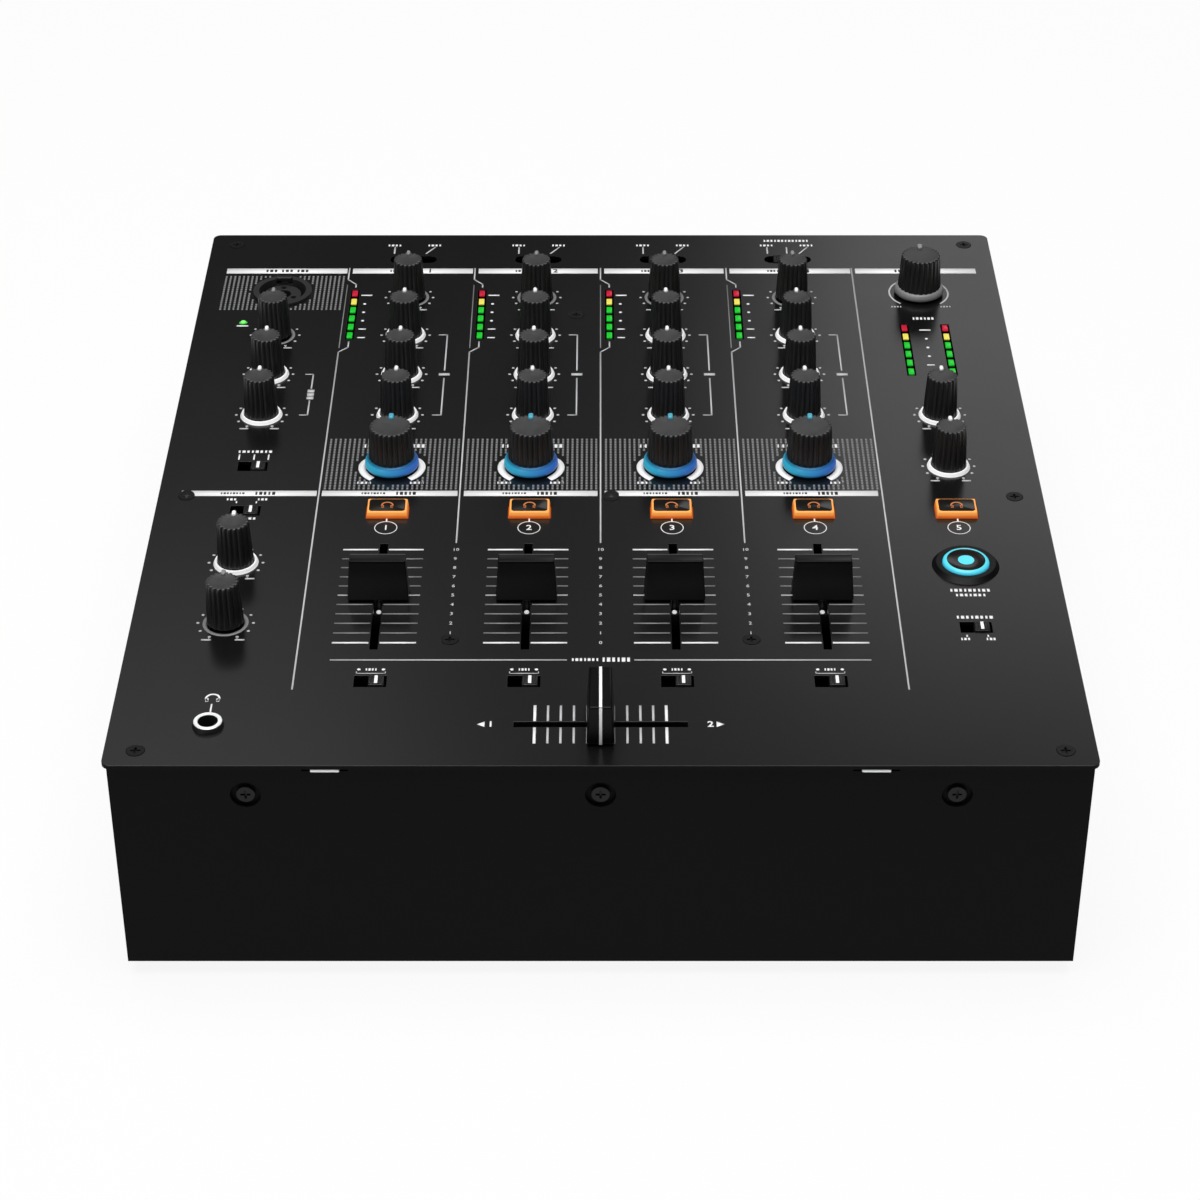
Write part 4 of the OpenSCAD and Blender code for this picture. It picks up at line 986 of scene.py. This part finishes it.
def printCue(bm):
    y = marks["cueY"]
    for text, x in zip("12345", channelX + [sideX]):
        arc(bm, x, y, 3.82, 4.1)
        figure(bm, x, y, text, marks["channelFigure"], 0.06)
        bar(bm, x, y + 5, 0.55, 1.8)


def printMeterLegends(bm):
    dashes(bm, sideX, 109.3, 9, 1.9, 6)
    bar(bm, sideX, 100.1, 4.4, 0.85)
    bar(bm, sideX, 73.1, 3, 0.75)
    for y in (93.3, 86.5, 79.8):
        dot(bm, sideX, y, 0.62)
    for x in channelX:
        bar(bm, x - 17.2, 128, 4.4, 0.85)
        for y in (121, 114.3, 107.5):
            dot(bm, x - 17.6, y, 0.62)
        for y in (100.9, 94.2):
            bar(bm, x - 17.4, y, 3, 0.75)


def scaleMarks(bm, rows, thick):
    # graduations on both sides of each channel fader
    away, wide = marks["scaleMark"]
    for x in channelX:
        for y in rows:
            for side in (-1, 1):
                bar(bm, x + side * away, y, wide, thick)


def crossMarks(bm, ticks, thick, long):
    for x in ticks:
        for side in (-1, 1):
            for y in marks["crossRows"]:
                bar(bm, side * x, y, thick, long)


def printCrossEnds(bm):
    y = marks["crossY"]
    for side, text in ((-1, "1"), (1, "2")):
        place = Matrix.Translation((side * 38.6, y, 0)) @ Matrix.Rotation(-side * pi / 2, 4, "Z")
        bmesh.ops.create_circle(bm, cap_ends=True, segments=3, radius=1.7, matrix=place)
        figure(bm, side * 35.8, y, text, 4.2, 0.1)


def printWords(bm):
    # plain blocks where the captions stand
    for x in channelX:
        for side in (-1, 1):
            dashes(bm, x + side * 8.2, 170, 6, 1.5, 4)
            dot(bm, x + side * 4.1, marks["assignLabel"], 0.6)
    words = [(x, marks["assignLabel"], 4.2, 1.3, 4) for x in channelX]
    words += [(channelX[3], 174, 19, 1.7, 13), (sideX, -80.2, 14.4, 1.7, 9),
              (sideX, -83.1, 11, 1.5, 7), (sideX, -96.4, 13, 1.7, 8),
              (sideX - 4.3, -109.2, 3.6, 1.4, 3), (sideX + 4.3, -109.2, 3.6, 1.4, 3),
              (-5.2, -121.1, 9.6, 1.6, 7), (5.2, -121.1, 10, 2.4, 6), (-sideX, 10, 13, 1.6, 8),
              (-sideX - 5.6, -22.4, 4, 1.4, 3), (-sideX + 5.6, -22.4, 4, 1.4, 3),
              (-sideX, -35, 9, 1.4, 6)]
    for word in words:
        dashes(bm, *word)
    ticks = [(sideX - 3.6, -107.4, 0.5, 1.2), (sideX + 3.6, -107.4, 0.5, 1.2),
             (-sideX - 3.6, -24.3, 0.5, 1.2), (-sideX + 3.6, -24.3, 0.5, 1.2),
             (-sideX - 5.5, 6.2, 0.55, 3.6), (-sideX, 6.2, 0.55, 3.6),
             (-sideX + 5.3, 6.2, 0.55, 3.6), (-sideX, -148.2, 0.55, 4.4),
             (-141.2, 103.4, 4.6, 0.9)]
    for tick in ticks:
        bar(bm, *tick)
    headphones(bm, -sideX, -142.8, 2.2, 0.7)


def printWhite():
    bm = bmesh.new()
    for layer in (printBars, printFilters, printCue, printMeterLegends, printCrossEnds,
                  printWords):
        layer(bm)
    scaleMarks(bm, (marks["scale"][0], marks["scale"][-1]), 0.85)
    crossMarks(bm, marks["crossTicks"][-1:], 0.95, 8.6)
    inkLayer("printWhite", bm, inkWhite)


def printLines():
    bm = bmesh.new()
    lines = [[(102, 150.5), (102, -137.8)], [(-113.4, 66), (-110.4, 66), (-110.4, 55.5)],
             [(-110.4, 46.5), (-110.4, 36), (-113.4, 36)]]
    leaders = [[(channelX[3], 168.4), (channelX[3], 163)]]
    for column in separators:
        end = -137.8 if column < -100 else -50.6
        led = column + 3.5
        lines += [[(column, 150.5), (column, 141), (led, 137), (led, 134.6)],
                  [(led, 91), (led, 86.6), (column, 83), (column, end)]]
    for x in channelX:
        # bracket of the tone knobs, leaders of the input selector, bracket of the assign switch
        lines += [[(x + 13.2, 96.3), (x + 16.4, 96.3), (x + 16.4, 69)],
                  [(x + 16.4, 63), (x + 16.4, 36), (x + 13.2, 36)]]
        bar(bm, x + 16.4, 66, 4.2, 1.7)
        leaders += [[(x - 8, 168.4), (x - 8, 163)], [(x + 8.5, 168.4), (x + 5, 163)]]
        stroke(bm, [(x - 4.8, -128), (x - 4.8, -128.9), (x + 4.8, -128.9), (x + 4.8, -128)], 0.35)
    for group, width in ((lines, marks["separator"]), (leaders, 0.6)):
        for points in group:
            stroke(bm, points, width)
    for y in (53.5, 51, 48.5):
        bar(bm, -110.4, y, 2.6, 2.1)
    x, y = middle("master_knob")
    for side, start in ((-1, 132), (1, -48)):
        arc(bm, x, y, 11.4, 12.1, start, start + 96)
        dashes(bm, x + side * 9.8, y - 11.2, 4.6, 1.1, 4)
        bar(bm, side * 51, marks["assignLine"], 79.4, 0.6)
    scaleMarks(bm, marks["scale"][5:6], 0.7)
    crossMarks(bm, marks["crossTicks"][:-1], 0.75, 8.4)
    inkLayer("printLines", bm, inkLine)


def hatch(bm, x0, width, low, high, centre, radius):
    # upright lines of short dashes that stop at a round clearing
    pitch, (wide, long) = marks["hatchPitch"], marks["hatchDash"]
    for i in range(int(width / pitch) + 1):
        for j in range(int((high - low) / pitch)):
            x, y = x0 + i * pitch, low + (j + 0.5) * pitch
            if hypot(x - centre[0], y - centre[1]) > radius:
                bar(bm, x, y, wide, long)


def printGrey():
    bm = bmesh.new()
    for column in separators:
        stroke(bm, [(column, 136.5), (column, 86.2)], 0.4)
    hatch(bm, -151.4, 48.6, 116, 145.8, (-sideX, 131), 13.2)
    for x, x0 in zip(channelX, (-100.1, -49.1, 2.0, 53.0)):
        hatch(bm, x0, 47.6, -16, 20.2, (x, 0), 13.4)
    scaleMarks(bm, marks["scale"][1:5] + marks["scale"][6:-1], 0.62)
    for node in numbered("gain_knob") + ["mic_level_knob", "cue_level_knob"]:
        arc(bm, *middle(node), *marks["thinRing"])
    inkLayer("printGrey", bm, inkGrey)


def printScales():
    bm = bmesh.new()
    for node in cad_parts:
        if "_knob" in node and not node.startswith(("filter", "master")):
            knobDots(bm, *middle(node))
            knobLegend(bm, *middle(node))
    for column, rows in ((-51, 10), (0, 11), (51, 10)):
        for i in range(rows):
            figure(bm, column, marks["scale"][i], str(10 - i), marks["scaleFigure"], 0.04)
    inkLayer("printScales", bm, inkLine)


def printBlack():
    # captions in the white bars
    bm = bmesh.new()
    y = marks["header"][0]
    for text, (x0, x1) in zip((None, "1", "2", "3", "4", None), headerBars):
        mid = (x0 + x1) / 2
        if text:
            figure(bm, mid + 7, y, text, 4.0, 0.12)
            dashes(bm, mid - 3, y, 13, 1.6, 10)
        else:
            for away in (-6.3, 0, 6.3):
                dashes(bm, mid + away, y, 5.2, 2.0, 3)
    y = marks["second"][0]
    for x0, x1 in secondBars:
        mid = (x0 + x1) / 2
        dashes(bm, mid - 6, y, 9, 1.1, 8)
        dashes(bm, mid + 5.8, y, 7.8, 2.0, 5)
    for x in (-149.8, 4):
        dot(bm, x, y - 0.65, 2.7)  # under the screws that stand in a bar
    for v in bm.verts:
        v.co.z += inkLift
    inkLayer("printBlack", bm, inkBlack)


printWhite()
printLines()
printGrey()
printScales()
printBlack()
print("deck printed")


def printRear():
    # printing on the rear panel
    bm = bmesh.new()
    for i, x in enumerate((-52, -20, 12, 44)):
        figure(bm, x, 66, str(i + 1), 5, 0.05)
        stroke(bm, [(x - 13, 62), (x - 13, 64), (x + 13, 64), (x + 13, 62)], 0.5)
    for x, wide in ((78, 12), (108, 12), (138, 12), (-102, 16), (-138, 9)):
        dashes(bm, x, 63.5, wide, 1.8, 7)
    bm.transform(Matrix.Translation((0, rearFace + inkLift, 0)) @ Matrix.Rotation(pi, 4, "Z")
                 @ Matrix.Rotation(pi / 2, 4, "X"))
    thicken(finishPiece("printRear", bm, [inkWhite], "case", normals=False), 1)


printRear()
print("rear printed")

# stage, lights and camera


def whiteFloor():
    # plain to light, white to the camera, to mirrors and through clear plastic
    m = bpy.data.materials.new("paleFloor")
    m.use_nodes = True
    nodes = m.node_tree.nodes
    shader = nodes["Principled BSDF"]
    shader.inputs["Base Color"].default_value = (0.8, 0.8, 0.8, 1)
    shader.inputs["Roughness"].default_value = 0.9
    shader.inputs["Specular IOR Level"].default_value = 0.1
    lit = nodes.new("ShaderNodeEmission")
    lit.inputs["Color"].default_value = (1, 1, 1, 1)
    mix = nodes.new("ShaderNodeMixShader")
    path = nodes.new("ShaderNodeLightPath").outputs
    either, mirrored = mathNode(nodes, "MAXIMUM"), mathNode(nodes, "MAXIMUM")
    share = mathNode(nodes, "MULTIPLY", 0.9)
    for start, end in ((path["Is Camera Ray"], either.inputs[0]),
                       (path["Is Transmission Ray"], either.inputs[1]),
                       (either.outputs[0], mirrored.inputs[0]),
                       (path["Is Glossy Ray"], mirrored.inputs[1]),
                       (mirrored.outputs[0], share.inputs[0]), (share.outputs[0], mix.inputs[0]),
                       (shader.outputs[0], mix.inputs[1]), (lit.outputs[0], mix.inputs[2]),
                       (mix.outputs[0], nodes["Material Output"].inputs["Surface"])):
        m.node_tree.links.new(start, end)
    bm = bmesh.new()
    bmesh.ops.create_grid(bm, x_segments=1, y_segments=1, size=8)
    mesh = meshFrom("floor", bm)
    mesh.materials.append(m)
    addObject("floor", mesh)


lamps = {
    "overhead": {"at": (-0.03, -0.2, 1.9), "aim": (0, 0, 0.1), "size": (1.7, 1.5), "power": 47},
    "backRight": {"at": (0.82, 2.35, 1.38), "aim": (0.05, 0, 0.1), "size": (1.2, 0.8),
                  "power": 4.0},
    "backMiddle": {"at": (-0.15, 1.92, 1.55), "aim": (0, 0, 0.1), "size": (1.0, 0.6),
                   "power": 0.22},
    "backLeft": {"at": (-0.62, 1.62, 1.8), "aim": (0, 0, 0.1), "size": (0.9, 0.7), "power": 1.6},
    "frontLeft": {"at": (-1.5, -1.7, 1.0), "aim": (0, 0, 0.08), "size": (0.9, 0.9), "power": 8},
}


def lights():
    for name, look in lamps.items():
        data = bpy.data.lights.new(name, "AREA")
        data.shape = "RECTANGLE"
        data.size, data.size_y = look["size"]
        data.energy = look["power"]
        lamp = addObject(name, data)
        lamp.location = look["at"]
        aim = Vector(look["aim"]) - Vector(look["at"])
        lamp.rotation_euler = aim.to_track_quat("-Z", "Y").to_euler()
    world = bpy.data.worlds.new("studio")
    world.use_nodes = True
    sky = world.node_tree.nodes["Background"].inputs
    sky["Color"].default_value = (1, 1, 1, 1)
    sky["Strength"].default_value = 0.035
    bpy.context.scene.world = world


shot = {"lens": 92.9, "at": (-0.0002, -0.9615, deckTop * mm + 0.6082), "tilt": 55.21}


def camera():
    data = bpy.data.cameras.new("camera")
    data.lens = shot["lens"]
    data.sensor_width = 36
    data.clip_end = 50
    view = addObject("camera", data)
    view.location = shot["at"]
    view.rotation_euler = (radians(shot["tilt"]), 0, 0)
    bpy.context.scene.camera = view
    bpy.context.scene.view_settings.view_transform = "Standard"


whiteFloor()
lights()
camera()
print("stage set")
